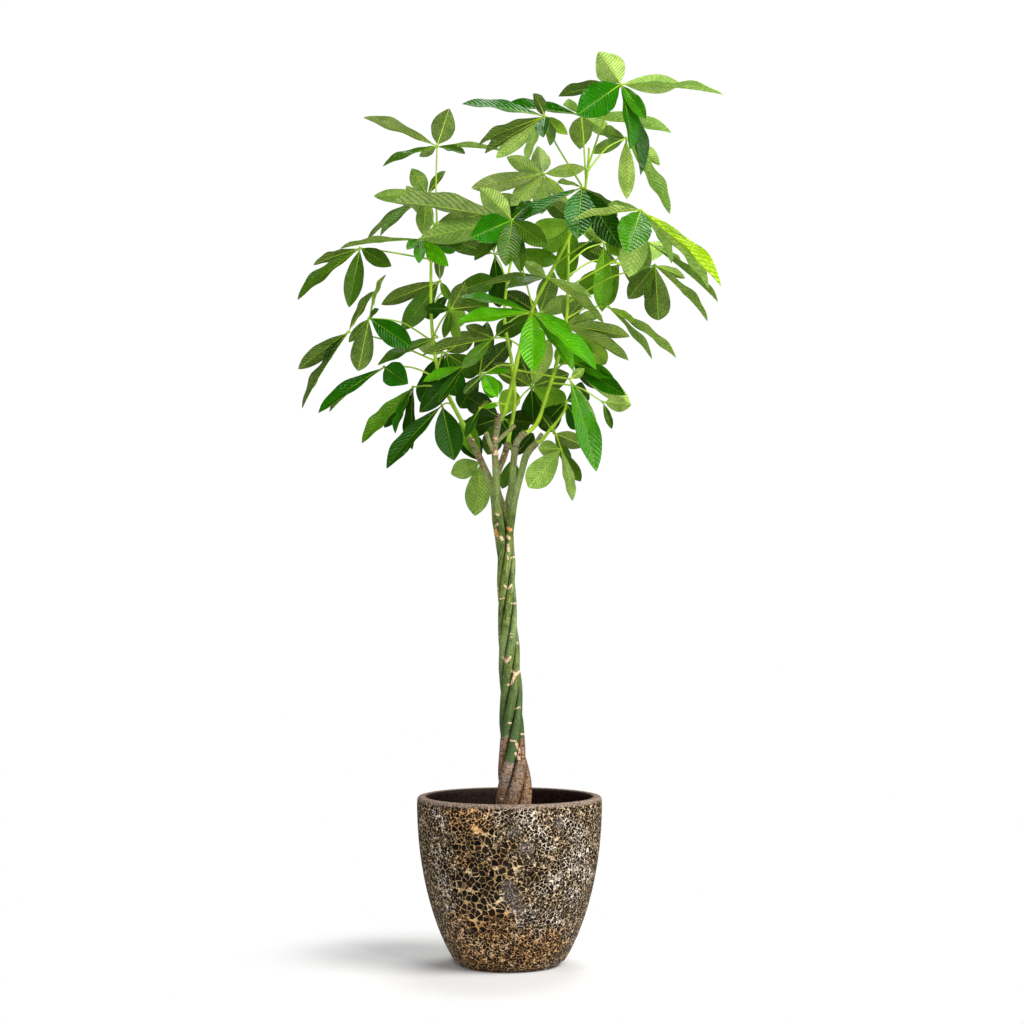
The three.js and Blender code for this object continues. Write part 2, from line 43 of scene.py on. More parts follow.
# camera first, the plant is placed as seen from it
view = {"eye": (0, -4200, 750), "target": (5, 0, 897.6), "middle": (5, 904), "frameWidth": 2048, "sensor": 36,
        "farthest": 60}
bpy.ops.object.camera_add(location=Vector(view["eye"]) * mm)
camera = bpy.context.object
camera.name = "photoCamera"
aim = (Vector(view["target"]) - Vector(view["eye"])) * mm
camera.rotation_euler = aim.to_track_quat("-Z", "Y").to_euler()
camera.data.sensor_width = view["sensor"]
camera.data.lens = view["sensor"] * aim.length / (view["frameWidth"] * mm)
camera.data.clip_end = view["farthest"]
bpy.context.scene.camera = camera

# the picture's own millimetres: x across and z up, with the middle of the frame at view["middle"]
eye = Vector(view["eye"])
lookAt = Vector(view["target"])
gaze = lookAt - eye
sideways = gaze.cross(Vector((0, 0, 1))).normalized()
upright = sideways.cross(gaze).normalized()


def seen(x, z, depth):  # the point at a depth that the camera sees at (x, z) of the picture
    spot = lookAt + sideways * (x - view["middle"][0]) + upright * (z - view["middle"][1])
    ray = spot - eye
    return eye + ray * ((depth - eye.y) / ray.y)


def pictured(point):  # and back: where in the picture a point lies
    ray = point - eye
    spot = eye + ray * (gaze.length_squared / ray.dot(gaze)) - lookAt
    return spot.dot(sideways) + view["middle"][0], spot.dot(upright) + view["middle"][1]


# helpers
def selectOnly(*pieces):
    bpy.ops.object.select_all(action="DESELECT")
    for piece in pieces:
        piece.select_set(True)
    bpy.context.view_layer.objects.active = pieces[0]


def joinAll(pieces, name):
    selectOnly(*pieces)
    bpy.ops.object.join()
    joined = bpy.context.object
    joined.name = name
    joined.data.name = name
    return joined


def applyModifier(piece, kind, **settings):
    selectOnly(piece)
    modifier = piece.modifiers.new(kind.title(), kind)
    for key, value in settings.items():
        setattr(modifier, key, value)
    bpy.ops.object.modifier_apply(modifier=modifier.name)


def openMesh():  # edit mode with everything selected
    bpy.ops.object.mode_set(mode="EDIT")
    bpy.ops.mesh.select_all(action="SELECT")


def closeMesh():  # all faces outwards, and back to object mode
    bpy.ops.mesh.select_all(action="SELECT")
    bpy.ops.mesh.normals_make_consistent(inside=False)
    bpy.ops.object.mode_set(mode="OBJECT")


def weld(piece):  # closes a rod's end caps
    selectOnly(piece)
    openMesh()
    bpy.ops.mesh.remove_doubles(threshold=2e-7)
    closeMesh()


def setMaterials(piece, *materials):
    piece.data.materials.clear()
    for material in materials:
        piece.data.materials.append(material)


def pieceName(node, kind):
    return node.replace("_", " ").title().replace(" ", "") + kind


def smoothShade(piece, degrees):
    selectOnly(piece)
    bpy.ops.object.shade_smooth_by_angle(angle=math.radians(degrees))


def between(table, at):  # straight lines through a table of (place, value)
    if at <= table[0][0]:
        return table[0][1]
    for (low, a), (high, b) in zip(table, table[1:]):
        if at <= high:
            return a + (b - a) * (at - low) / (high - low)
    return table[-1][1]


def softStep(low, high, value):
    share = min(max((value - low) / (high - low), 0.0), 1.0)
    return share * share * (3 - 2 * share)


def smoothRoute(points, spacing, steps=16):  # an even run of points on a smooth curve through all points
    points = [Vector(p) for p in points]
    padded = [points[0] * 2 - points[1]] + points + [points[-1] * 2 - points[-2]]
    dense = [points[0]]
    for a, b, c, d in zip(padded, padded[1:], padded[2:], padded[3:]):
        before, span, after = [math.sqrt((q - p).length) for p, q in ((a, b), (b, c), (c, d))]
        leave = ((b - a) / before - (c - a) / (before + span) + (c - b) / span) * span
        arrive = ((c - b) / span - (d - b) / (span + after) + (d - c) / after) * span
        for i in range(1, steps + 1):
            t = i / steps
            dense.append(b + leave * t + (3 * (c - b) - 2 * leave - arrive) * t ** 2
                         + (2 * (b - c) + leave + arrive) * t ** 3)
    runs = [0.0]
    for p, q in zip(dense, dense[1:]):
        runs.append(runs[-1] + (q - p).length)
    count = max(2, round(runs[-1] / spacing))
    even, j = [], 0
    for i in range(count + 1):
        at = runs[-1] * i / count
        while j < len(runs) - 2 and runs[j + 1] < at:
            j += 1
        even.append(dense[j].lerp(dense[j + 1], (at - runs[j]) / (runs[j + 1] - runs[j])))
    return even


def rod(points, radii, resolution):  # a round rod through points, one radius a point, ends closed
    bpy.ops.object.select_all(action="DESELECT")
    bpy.ops.curve.primitive_bezier_curve_add()
    piece = bpy.context.object
    curve = piece.data
    curve.splines.clear()
    line = curve.splines.new("POLY")
    line.points.add(len(points) - 1)
    for knot, point, radius in zip(line.points, points, radii):
        knot.co = (*(Vector(point) * mm), 1)
        knot.radius = radius * mm
    curve.dimensions = "3D"
    curve.bevel_depth = 1
    curve.bevel_resolution = resolution
    curve.use_fill_caps = True
    bpy.ops.object.convert(target="MESH")
    return bpy.context.object


def newMaterial(name):
    material = bpy.data.materials.new(name)
    material.use_nodes = True
    tree = material.node_tree
    shader = tree.nodes["Principled BSDF"]

    def feed(socket, value):
        if isinstance(value, bpy.types.NodeSocket):
            tree.links.new(value, socket)
        else:
            socket.default_value = value

    def add(kind, inputs=None, **settings):
        made = tree.nodes.new("ShaderNode" + kind)
        for key, value in settings.items():
            setattr(made, key, value)
        for key, value in (inputs or {}).items():
            feed(made.inputs[key], value)
        return made

    def calc(operation, *values):
        made = add("Math", operation=operation)
        for i, value in enumerate(values):
            feed(made.inputs[i], value)
        return made.outputs[0]

    def ramp(value, low, high, bottom=0.0, top=1.0):
        made = add("MapRange", {"Value": value, "From Min": low, "From Max": high, "To Min": bottom,
                                "To Max": top}, interpolation_type="SMOOTHSTEP")
        return made.outputs[0]

    def blendColours(share, first, second, kind="MIX"):
        made = add("Mix", data_type="RGBA", blend_type=kind)
        for socket, value in zip([made.inputs[i] for i in (0, 6, 7)], (share, first, second)):
            feed(socket, value if isinstance(value, (bpy.types.NodeSocket, float, int)) else (*value, 1)[:4])
        return made.outputs[2]

    return material, shader, add, feed, calc, ramp, blendColours


def grain(add, place, scale, detail=2.0, roughness=0.5):  # soft noise from 0 to 1
    made = add("TexNoise", {"Vector": place, "Scale": scale, "Detail": detail, "Roughness": roughness})
    return made.outputs["Fac"]


def either(add, share, low, high):  # low where the share is 0, high where it is 1
    return add("Mix", {0: share, 2: low, 3: high}).outputs[0]


def coat(feed, shader, colour, roughness, specular):
    for name, value in (("Base Color", colour), ("Roughness", roughness), ("Specular IOR Level", specular)):
        feed(shader.inputs[name], value)


def emboss(add, feed, shader, height, strength, distance):
    bump = add("Bump", {"Height": height, "Strength": strength, "Distance": distance})
    feed(shader.inputs["Normal"], bump.outputs["Normal"])


def layOver(material, shader, add, feed, second, share):  # a second shader over the main one
    both = add("MixShader", {"Fac": share})
    feed(both.inputs[1], shader.outputs[0])
    feed(both.inputs[2], second.outputs[0])
    feed(material.node_tree.nodes["Material Output"].inputs["Surface"], both.outputs[0])


# shoots: x and z as seen from the front in the trunk's plane, then the depth behind it.
# A tip is x, z, depth from its hub, and the width that shows: above 0 its upper face, below 0 its lower.
shootPlans = {
    "shoot_centre": {
        "radii": (5, 2.2),
        "axis": [(-22, 1082, -2), (-10, 1104, -3), (-3, 1130, -3), (9, 1176, -4), (18, 1218, -6),
            (35, 1278, -8), (57, 1334, -6), (93, 1402, 0), (123, 1462, 6), (141, 1508, 10), (151, 1548, 12),
            (157, 1598, 14), (159, 1632, 16)],
        "leaves": [
            {"root": 1588, "via": (190, 1690, -30), "hub": (223, 1760, -50), "tips": [(179, 1822, 95, -66),
                (341, 1760, 20, -42), (428, 1742, 40, -9), (245, 1632, -90, 28), (267, 1580, -40, 28),
                (137, 1700, -110, 68), (99, 1740, 90, -26), (273, 1690, -60, 30)]},
            {"root": 1556, "hub": (143, 1698, 60), "tips": [(-21, 1718, 40, 24), (141, 1632, 90, -52),
                (325, 1666, 30, -26), (111, 1720, 120, -20), (203, 1658, 110, -34)]},
            {"root": 1540, "via": (87, 1652, -60), "hub": (71, 1696, -90), "tips": [(-95, 1724, -10, 20),
                (-65, 1642, 20, -18), (-51, 1624, 40, -24), (-27, 1612, 60, -36), (33, 1604, 70, -20),
                (67, 1656, -110, 30), (83, 1640, -70, 22), (115, 1660, -50, 24), (49, 1740, 80, -24)]},
            {"root": 1490, "hub": (67, 1580, -20), "tips": [(57, 1634, 90, -44), (151, 1592, 50, -28),
                (115, 1522, 50, -24), (64, 1500, 60, -40), (3, 1518, 50, -44), (-77, 1552, 20, -40),
                (-5, 1614, 40, -34)]},
            {"root": 1584, "hub": (233, 1652, 80), "tips": [(235, 1530, 60, -38), (165, 1622, 80, -28),
                (177, 1668, 90, -26), (325, 1502, 20, -29), (300, 1600, 90, -30)]},
            {"root": 1530, "hub": (145, 1554, -50), "tips": [(-3, 1472, -40, 24), (135, 1452, -110, 64),
                (223, 1432, -60, 56), (217, 1498, 60, -16), (97, 1564, 70, -10)]},
            {"root": 1396, "via": (170, 1452, -60), "hub": (263, 1508, -100), "tips": [
                (123, 1490, -80, -16), (195, 1518, 60, -16), (235, 1422, -130, 72), (239, 1374, 40, -60),
                (425, 1358, -20, 24), (403, 1356, 30, -28), (327, 1404, 80, -16)]},
            {"root": 1362, "hub": (75, 1374, -34), "tips": [(-53, 1360, 10, -18), (-7, 1354, -60, 18),
                (29, 1404, 60, -28), (193, 1284, -30, -20), (165, 1334, 40, -14)]},
            {"root": 1300, "via": (24, 1400, -70), "hub": (5, 1488, -120), "tips": [(-237, 1528, 10, -38),
                (-179, 1452, 40, -52), (-75, 1454, -90, 60), (-7, 1400, -100, 48), (23, 1384, -50, 32),
                (77, 1436, -60, 44), (-58, 1552, 70, -48), (47, 1526, 80, 24), (-71, 1408, -30, 28)]},
            {"root": 1290, "hub": (45, 1304, -70), "tips": [(-101, 1336, -20, 16), (-105, 1284, -50, 28),
                (47, 1188, -90, 54), (175, 1192, -60, 32), (131, 1188, -20, 28), (127, 1266, 40, 20)]},
            {"root": 1222, "hub": (-33, 1252, -60), "tips": [(-87, 1276, 40, -28), (15, 1284, 30, -16),
                (-177, 1220, -20, -20), (-95, 1192, -40, 28)]},
            {"root": 1176, "via": (70, 1178, -40), "hub": (121, 1170, -66), "tips": [(175, 986, -40, 48),
                (173, 1058, 30, -34), (149, 1190, 20, -20), (157, 1018, 0, 20)]},
            {"root": 1190, "hub": (-51, 1180, -70), "tips": [(-25, 1136, -70, 34), (1, 1186, -30, 12),
                (-93, 1140, -30, -20)]},
            {"root": 1112, "hub": (-59, 1112, -50), "tips": [(-89, 1054, -20, 18), (-23, 1118, -20, 10),
                (-41, 1128, -40, -10)]},
        ],
    },
    "shoot_right": {
        "radii": (4.6, 2.4),
        "axis": [(26, 1058, 25), (45, 1070, 32), (57, 1086, 36), (79, 1152, 44), (89, 1182, 48),
            (101, 1228, 50), (113, 1282, 52), (117, 1362, 54), (119, 1456, 60), (131, 1528, 70)],
        "leaves": [
            {"root": 1400, "hub": (189, 1442, 90), "tips": [(185, 1304, 10, 44), (131, 1424, 70, 20),
                (151, 1466, 60, -24), (225, 1418, -50, 24), (262, 1452, 60, -30)]},
            {"root": 1350, "via": (205, 1404, 50), "hub": (281, 1442, 40), "tips": [(419, 1326, 20, -14),
                (323, 1418, -40, 10), (251, 1372, 50, -40), (345, 1400, 60, -14)]},
            {"root": 1320, "via": (200, 1372, 20), "hub": (291, 1398, 0), "tips": [(351, 1372, 40, -20),
                (399, 1288, 30, -16), (298, 1284, -50, -58), (237, 1330, 20, -42), (275, 1314, -20, 12)]},
            {"root": 1180, "hub": (125, 1204, -10), "tips": [(207, 1174, -60, 28), (231, 1138, -70, 40),
                (243, 1120, -10, -40), (182, 1150, 40, -30)]},
            {"root": 1250, "hub": (107, 1278, 100), "tips": [(241, 1256, 30, -32), (239, 1210, 50, -28),
                (184, 1298, 70, -26), (150, 1336, 80, -30)]},
            {"root": 1290, "hub": (199, 1314, 110), "tips": [(335, 1214, 20, -18), (287, 1212, 50, -14),
                (251, 1284, -30, 16)]},
            {"root": 1160, "hub": (187, 1124, 70), "tips": [(205, 1070, -10, 16), (243, 1118, 20, -36)]},
            {"root": 1440, "hub": (130, 1484, 150), "tips": [(72, 1532, 60, -44), (42, 1462, 50, 48),
                (66, 1426, 100, 48), (106, 1364, 70, 52), (196, 1452, 60, 44), (190, 1520, 60, -40)]},
            {"root": 1380, "hub": (220, 1400, 200), "tips": [(130, 1440, 80, -40), (230, 1490, 60, -40),
                (320, 1440, 60, -40), (300, 1340, 60, -44), (186, 1312, 90, 40), (136, 1344, 110, 48)]},
            {"root": 1220, "hub": (138, 1262, 120), "tips": [(110, 1336, 70, -36), (182, 1236, 60, 44),
                (194, 1198, 60, 44), (152, 1186, 70, 50), (96, 1200, 70, 44)]},
        ],
    },
    "shoot_left": {
        "radii": (4.6, 2.4),
        "axis": [(-72, 1040, 20), (-93, 1080, 16), (-115, 1122, 10), (-137, 1168, 6), (-147, 1206, 2),
            (-154, 1260, 0), (-157, 1314, 0), (-157, 1386, 4), (-155, 1442, 8), (-145, 1478, 10)],
        "leaves": [
            {"root": 1470, "via": (-147, 1544, 6), "hub": (-145, 1636, 0), "tips": [(-291, 1696, 10, -22),
                (-121, 1710, 60, -54), (-255, 1600, -20, 14), (-179, 1616, 60, -20), (-89, 1622, -60, 14),
                (-15, 1628, 20, -8)]},
            {"root": 1460, "hub": (-165, 1538, 40), "tips": [(-195, 1590, 60, -36), (-129, 1586, 50, -18),
                (-271, 1536, 20, -30), (-95, 1526, -50, 24), (-261, 1460, -20, 20), (-291, 1448, 20, 8),
                (-173, 1458, 50, -40)]},
            {"root": 1402, "via": (-253, 1426, -10), "hub": (-299, 1432, -30), "tips": [
                (-393, 1400, 10, -18), (-427, 1332, -20, 24), (-321, 1314, -60, 40),
                (-237, 1396, -60, 36)]},
            {"root": 1440, "hub": (-179, 1450, -40), "tips": [(-339, 1434, 50, -10), (-205, 1430, -70, 20),
                (-181, 1404, -60, 24), (-123, 1396, -50, 30), (-81, 1428, -20, 20)]},
            {"root": 1350, "hub": (-139, 1366, 30), "tips": [(-257, 1320, 20, -34), (-215, 1268, -40, 44),
                (-143, 1424, 60, -24), (-119, 1328, -40, 18)]},
            {"root": 1240, "hub": (-117, 1310, -20), "tips": [(-89, 1362, 40, -34), (-171, 1312, -20, 24),
                (-131, 1252, -20, 20), (-59, 1316, 20, -16), (-103, 1242, 10, 22)]},
            {"root": 1236, "via": (-219, 1284, -40), "hub": (-281, 1292, -60), "tips": [
                (-251, 1380, 30, -8), (-263, 1310, -50, 10), (-303, 1184, -20, -48), (-195, 1234, -30, 48),
                (-321, 1244, 40, -20)]},
            {"root": 1200, "via": (-249, 1248, 20), "hub": (-323, 1264, 30), "tips": [(-273, 1346, 40, -16),
                (-423, 1190, 20, -34), (-373, 1202, -40, 12), (-417, 1112, 0, -14)]},
            {"root": 1160, "hub": (-251, 1194, -40), "tips": [(-385, 1106, -20, 26), (-363, 1108, 40, -14),
                (-205, 1162, -90, 56)]},
            {"root": 1240, "hub": (-145, 1254, -50), "tips": [(-265, 1200, -10, 20),
                (-221, 1220, 40, -16)]},
            {"root": 1140, "hub": (-193, 1154, 20), "tips": [(-298, 1044, -20, 30), (-231, 1063, -60, 16),
                (-197, 1028, 20, 26), (-251, 1072, 10, 30)]},
            {"root": 1110, "hub": (-135, 1118, -30), "tips": [(-111, 1008, -30, 60), (-249, 994, -30, 35)]},
            {"root": 1150, "hub": (-91, 1196, -60), "tips": [(-173, 1166, -20, 20), (-143, 1124, -40, 20),
                (-181, 1102, 20, 40)]},
            {"root": 1070, "hub": (-57, 1004, 60), "tips": [(-117, 980, 20, -44), (-69, 896, 20, -52),
                (-85, 1054, 50, 48), (-98, 1090, 60, 44)]},
            {"root": 1420, "hub": (-150, 1480, 150), "tips": [(-206, 1556, 60, -36), (-50, 1500, 70, -44),
                (-110, 1420, 90, 40), (-156, 1400, 80, 30)]},
            {"root": 1300, "hub": (-120, 1340, 150), "tips": [(-30, 1370, 60, 48), (-40, 1310, 70, 50),
                (-100, 1270, 80, 44), (-170, 1290, 70, 34)]},
            {"root": 1180, "hub": (-128, 1222, 130), "tips": [(-190, 1246, 60, -34), (-70, 1262, 70, -44),
                (-60, 1180, 60, 50), (-104, 1134, 70, 54), (-180, 1122, 70, 48), (-172, 1158, 40, 34)]},
        ],
    },
    "shoot_low_right": {
        "radii": (4, 2.4),
        "axis": [(50, 1040, -10), (63, 1046, -10), (79, 1066, -14), (99, 1090, -16), (113, 1112, -18)],
        "leaves": [
            {"root": 1062, "hub": (103, 1030, -60), "tips": [(37, 952, -30, -56), (57, 1032, 10, -36),
                (127, 926, 10, -22), (143, 964, 30, 26)]},
            {"root": 1076, "hub": (89, 1062, 10), "tips": [(149, 1036, 30, -38), (120, 1000, 60, 24),
                (60, 1104, 40, -24)]},
            {"root": 1108, "hub": (112, 1124, 20), "tips": [(60, 1070, 60, 54), (158, 1150, 110, 44),
                (146, 1070, 60, 44)]},
        ],
    },
    "shoot_back": {
        "radii": (4.6, 2.4),
        "axis": [(-6, 1032, 49), (0, 1060, 54), (10, 1120, 72), (5, 1200, 100), (-10, 1290, 120),
            (0, 1390, 135), (20, 1460, 145)],
        "leaves": [
            {"root": 1070, "hub": (-18, 1092, 90), "tips": [(-86, 1136, 40, 50), (-96, 1066, 30, 46),
                (-44, 1018, 20, 44), (16, 1026, 20, 44), (44, 1082, 40, 50), (10, 1150, 40, 46)]},
            {"root": 1046, "hub": (6, 1012, 90), "tips": [(-15, 950, 20, 26), (14, 962, 30, 24),
                (48, 1062, 30, 34)]},
            {"root": 1110, "hub": (44, 1154, 80), "tips": [(118, 1180, 60, -50), (80, 1250, 50, -44),
                (18, 1226, 50, -40), (-30, 1200, 50, -44), (48, 1076, 60, 54), (112, 1110, 60, 58)]},
            {"root": 1170, "hub": (-60, 1180, 130), "tips": [(-44, 1284, 50, -46), (4, 1246, 60, -44),
                (-20, 1138, 60, 44), (-100, 1110, 60, 44)]},
            {"root": 1280, "hub": (60, 1300, 190), "tips": [(-10, 1344, 60, -44), (88, 1384, 50, -46),
                (128, 1332, 24, -40), (130, 1226, 70, 48), (50, 1210, 90, 44), (-30, 1260, 80, 48)]},
            {"root": 1370, "hub": (-30, 1420, 190), "tips": [(-130, 1450, 60, -40), (-50, 1510, 60, -40),
                (50, 1480, 60, -40), (100, 1408, 60, 44), (-20, 1310, 90, 44)]},
            {"root": 1456, "hub": (40, 1520, 150), "tips": [(-40, 1530, 60, -36), (30, 1596, 60, -36),
                (-40, 1470, 80, 48)]},
        ],
    },
}


# leaves: upper face then lower face of each look, and the leaflet tips that have it. Besides the leaves' own
# greens the looks hold painted light and shade: the deep look is painted shade for leaves deep in the crown,
# dark is dark leaves with painted shade on those inside the crown, and the upper faces of pale, mid and vivid
# are lightened as painted light on leaves that lie in shade
leafLooks = {
    "middle": ((0.090, 0.195, 0.012), (0.250, 0.385, 0.055)),
    "bright": ((0.125, 0.500, 0.002), (0.300, 0.540, 0.050)),
    "grass": ((0.060, 0.290, 0.003), (0.260, 0.440, 0.040)),
    "gloss": ((0.016, 0.170, 0.001), (0.170, 0.300, 0.022)),
    "dark": ((0.014, 0.085, 0.002), (0.100, 0.200, 0.015)),
    # painted shade: leaves deep in the crown
    "deepShade": ((0.018, 0.060, 0.002), (0.030, 0.085, 0.003)),
    "lime": ((0.430, 0.620, 0.002), (0.480, 0.680, 0.010)),
    "fresh": ((0.055, 0.230, 0.004), (0.340, 0.550, 0.060)),
    "pale": ((0.430, 0.690, 0.060), (0.560, 0.730, 0.180)),
    "sage": ((0.150, 0.250, 0.045), (0.400, 0.515, 0.140)),
    "mid": ((0.190, 0.420, 0.018), (0.330, 0.475, 0.085)),
    "vivid": ((0.180, 0.640, 0.006), (0.300, 0.560, 0.040)),
    "green": ((0.075, 0.165, 0.009), (0.145, 0.230, 0.030)),
}
leafPicks = {
    "bright": [(1, 1186), (47, 1188), (50, 1210), (-173, 1166), (127, 1266), (-105, 1284), (152, 1186),
               (175, 1192), (-123, 1396)],
    "grass": [(157, 1018), (175, 986), (273, 1690), (207, 1174), (-205, 1430), (-110, 1420), (-101, 1336),
              (-181, 1404), (-156, 1400)],
    "vivid": [(131, 1188), (-23, 1118), (96, 1200), (-25, 1136), (-20, 1138)],
    "gloss": [(67, 1656), (-75, 1454), (135, 1452), (137, 1700), (-3, 1472), (231, 1138), (-21, 1718),
              (-385, 1106), (-205, 1162), (-231, 1063), (-95, 1724), (-195, 1234), (245, 1632),
              (-104, 1134), (130, 1226)],
    "dark": [(223, 1432), (47, 1526), (-180, 1122), (-100, 1110), (-40, 1470), (-111, 1008), (-85, 1054),
             (-20, 1310), (-197, 1028), (60, 1070), (-251, 1072), (158, 1150), (48, 1076), (-170, 1290),
             (-171, 1312), (146, 1070), (267, 1580), (-181, 1102), (-249, 994), (-172, 1158), (-89, 1054),
             (-143, 1124), (118, 1180), (16, 1026)],
    "deepShade": [(4, 1246), (-93, 1140), (18, 1226), (15, 1284), (60, 1104), (-44, 1284), (-10, 1344),
             (182, 1150), (-86, 1136), (48, 1062), (44, 1082), (-96, 1066), (-373, 1202)],
    "lime": [(425, 1358)],
    "fresh": [(235, 1422)],
    "pale": [(66, 1426), (251, 1284), (42, 1462), (115, 1660), (323, 1418), (243, 1120), (10, 1150),
             (196, 1452), (-103, 1242), (194, 1198), (182, 1236), (-100, 1270), (403, 1356), (327, 1404),
             (165, 1334), (345, 1400), (320, 1440), (239, 1374), (127, 926), (29, 1404), (-190, 1246)],
    "sage": [(-261, 1460), (-291, 1448)],
    "mid": [(186, 1312), (136, 1344), (-98, 1090), (225, 1418), (185, 1304), (106, 1364), (112, 1110),
            (-298, 1044), (100, 1408), (262, 1452), (-195, 1590), (177, 1668), (151, 1466), (141, 1632),
            (-271, 1536), (165, 1622), (-69, 896), (-117, 980), (-119, 1328), (275, 1314), (-173, 1458),
            (-179, 1452), (-40, 1530), (37, 952), (57, 1032)],
    "green": [(49, 1740), (72, 1532), (-129, 1586), (-50, 1500), (50, 1480), (-51, 1624), (-130, 1450),
              (-65, 1642), (217, 1498), (-50, 1510), (99, 1740), (130, 1440), (-53, 1360), (88, 1384),
              (-273, 1346), (-30, 1200), (-393, 1400), (-41, 1128), (237, 1330), (300, 1340), (298, 1284),
              (-59, 1316), (150, 1336), (-89, 1362), (143, 964), (149, 1036), (-321, 1314), (-237, 1396),
              (-7, 1400), (190, 1520), (-143, 1424), (-121, 1710)],
}
leafShape = {
    "outline": [(0, 0.05), (0.05, 0.07), (0.12, 0.26), (0.22, 0.52), (0.35, 0.78), (0.48, 0.94), (0.6, 1.0),
                (0.7, 0.97), (0.79, 0.84), (0.87, 0.62), (0.93, 0.38), (0.97, 0.18), (1, 0.0)],
    "across": 8, "along": 24, "crowding": 0.92, "ratio": 0.27, "arch": 0.015, "root": 2, "thickness": 0.8,
    "fold": (13, 27), "wave": 0.018, "waves": (1.6, 3.2), "halfShift": 0.37, "curl": 0.05,
    "curls": (0.3, 1.4), "curlFrom": 0.6, "tints": (0.86, 1.14), "warmths": (-0.08, 0.08),
    "midribRadii": (1.25, 0.35), "midribSink": 0.6, "midribJoints": 9,
    "hubRadius": 3.2, "stalkRadii": (2.1, 1.4), "stalkEnds": (1.5, 1.25), "stalkArch": 0.1, "stalkStep": 9,
    "axisStep": 8, "knot": 0.10, "knotPace": 1.3,
}


def pickLook(x, z, width):
    for look, tips in leafPicks.items():
        if (x, z) in tips:
            return look
    if width > 0:  # not in the table: by the face that shows and the place in the crown
        return "middle"
    if z > 1440:
        return "sage" if x < -60 else "pale"
    return "green" if x < -60 and z < 1330 else "mid"


def makeMasterLeaflet():  # flat leaf outline, x across in half widths, y along from 0 to 1
    bpy.ops.object.select_all(action="DESELECT")
    bpy.ops.mesh.primitive_grid_add(x_subdivisions=leafShape["across"], y_subdivisions=leafShape["along"],
                                    size=2)
    leaf = bpy.context.object
    leaf.name = "masterLeaflet"
    for vertex in leaf.data.vertices:
        along = ((vertex.co.y + 1) / 2) ** leafShape["crowding"]
        vertex.co = (vertex.co.x * between(leafShape["outline"], along), along, 0)
    openMesh()
    bpy.ops.mesh.remove_doubles(threshold=1e-4)
    bpy.ops.object.mode_set(mode="OBJECT")
    leafMap = leaf.data.uv_layers[0]
    leafMap.name = "leafMap"
    for loop in leaf.data.loops:
        spot = leaf.data.vertices[loop.vertex_index].co
        leafMap.data[loop.index].uv = (0.5 + spot.x / 2, spot.y)
    for name in ("leafUpper", "leafLower"):
        leaf.data.color_attributes.new(name, "FLOAT_COLOR", "POINT")
    return leaf


def facing(along, middle, share, sign):  # the upper face's direction, see the table's widths
    toEye = (eye - middle).normalized()
    broad = (toEye - along * toEye.dot(along)).normalized() * sign
    across = along.cross(broad)
    if across.z < 0:
        across.negate()
    return broad * share + across * math.sqrt(1 - share * share)


def layLeaflet(master, hub, tip, seenWidth, look, chance):
    shape = leafShape
    along = tip - hub
    length = along.length
    along.normalize()
    middle = hub.lerp(tip, 0.5)
    width = max(abs(seenWidth), shape["ratio"] * length)
    normal = facing(along, middle, abs(seenWidth) / width, math.copysign(1, seenWidth))
    side = along.cross(normal)
    start = hub + along * shape["root"]
    top = middle + normal * 2 * shape["arch"] * length
    fold = math.radians(chance.uniform(*shape["fold"]))
    phase, count = chance.random(), chance.uniform(*shape["waves"])
    curl = shape["curl"] * chance.uniform(*shape["curls"])
    tint = chance.uniform(*shape["tints"])
    warm = chance.uniform(*shape["warmths"])

    def spine(t):
        place = start * (1 - t) ** 2 + top * 2 * t * (1 - t) + tip * t * t
        slope = ((top - start) * (1 - t) + (tip - top) * t).normalized()
        up = side.cross(slope)
        return place - up * curl * length * max(0, t - shape["curlFrom"]) ** 2 * 4, up

    leaf = master.copy()
    leaf.data = master.data.copy()
    bpy.context.scene.collection.objects.link(leaf)
    spots = []
    for vertex in leaf.data.vertices:
        place, up = spine(vertex.co.y)
        out = vertex.co.x * width / 2
        edge = abs(vertex.co.x)
        shift = shape["halfShift"] if out > 0 else 0
        ripple = math.sin(2 * math.pi * (count * vertex.co.y + phase + shift))
        lift = abs(out) * math.sin(fold) + shape["wave"] * length * edge * edge * ripple
        spots.extend((place + side * out * math.cos(fold) + up * lift) * mm)
    leaf.data.vertices.foreach_set("co", spots)
    for name, colour in zip(("leafUpper", "leafLower"), leafLooks[look]):
        shaded = (colour[0] * (tint + warm), colour[1] * tint, colour[2] * tint, 1)
        leaf.data.attributes[name].data.foreach_set("color", shaded * len(leaf.data.vertices))
    joints = shape["midribJoints"]
    ribs = [spine(i / joints) for i in range(joints)]
    thick, thin = shape["midribRadii"]
    radii = [thick + (thin - thick) * i / (joints - 1) for i in range(joints)]
    midrib = rod([hub] + [place - up * shape["midribSink"] for place, up in ribs], [radii[0]] + radii, 1)
    return leaf, midrib


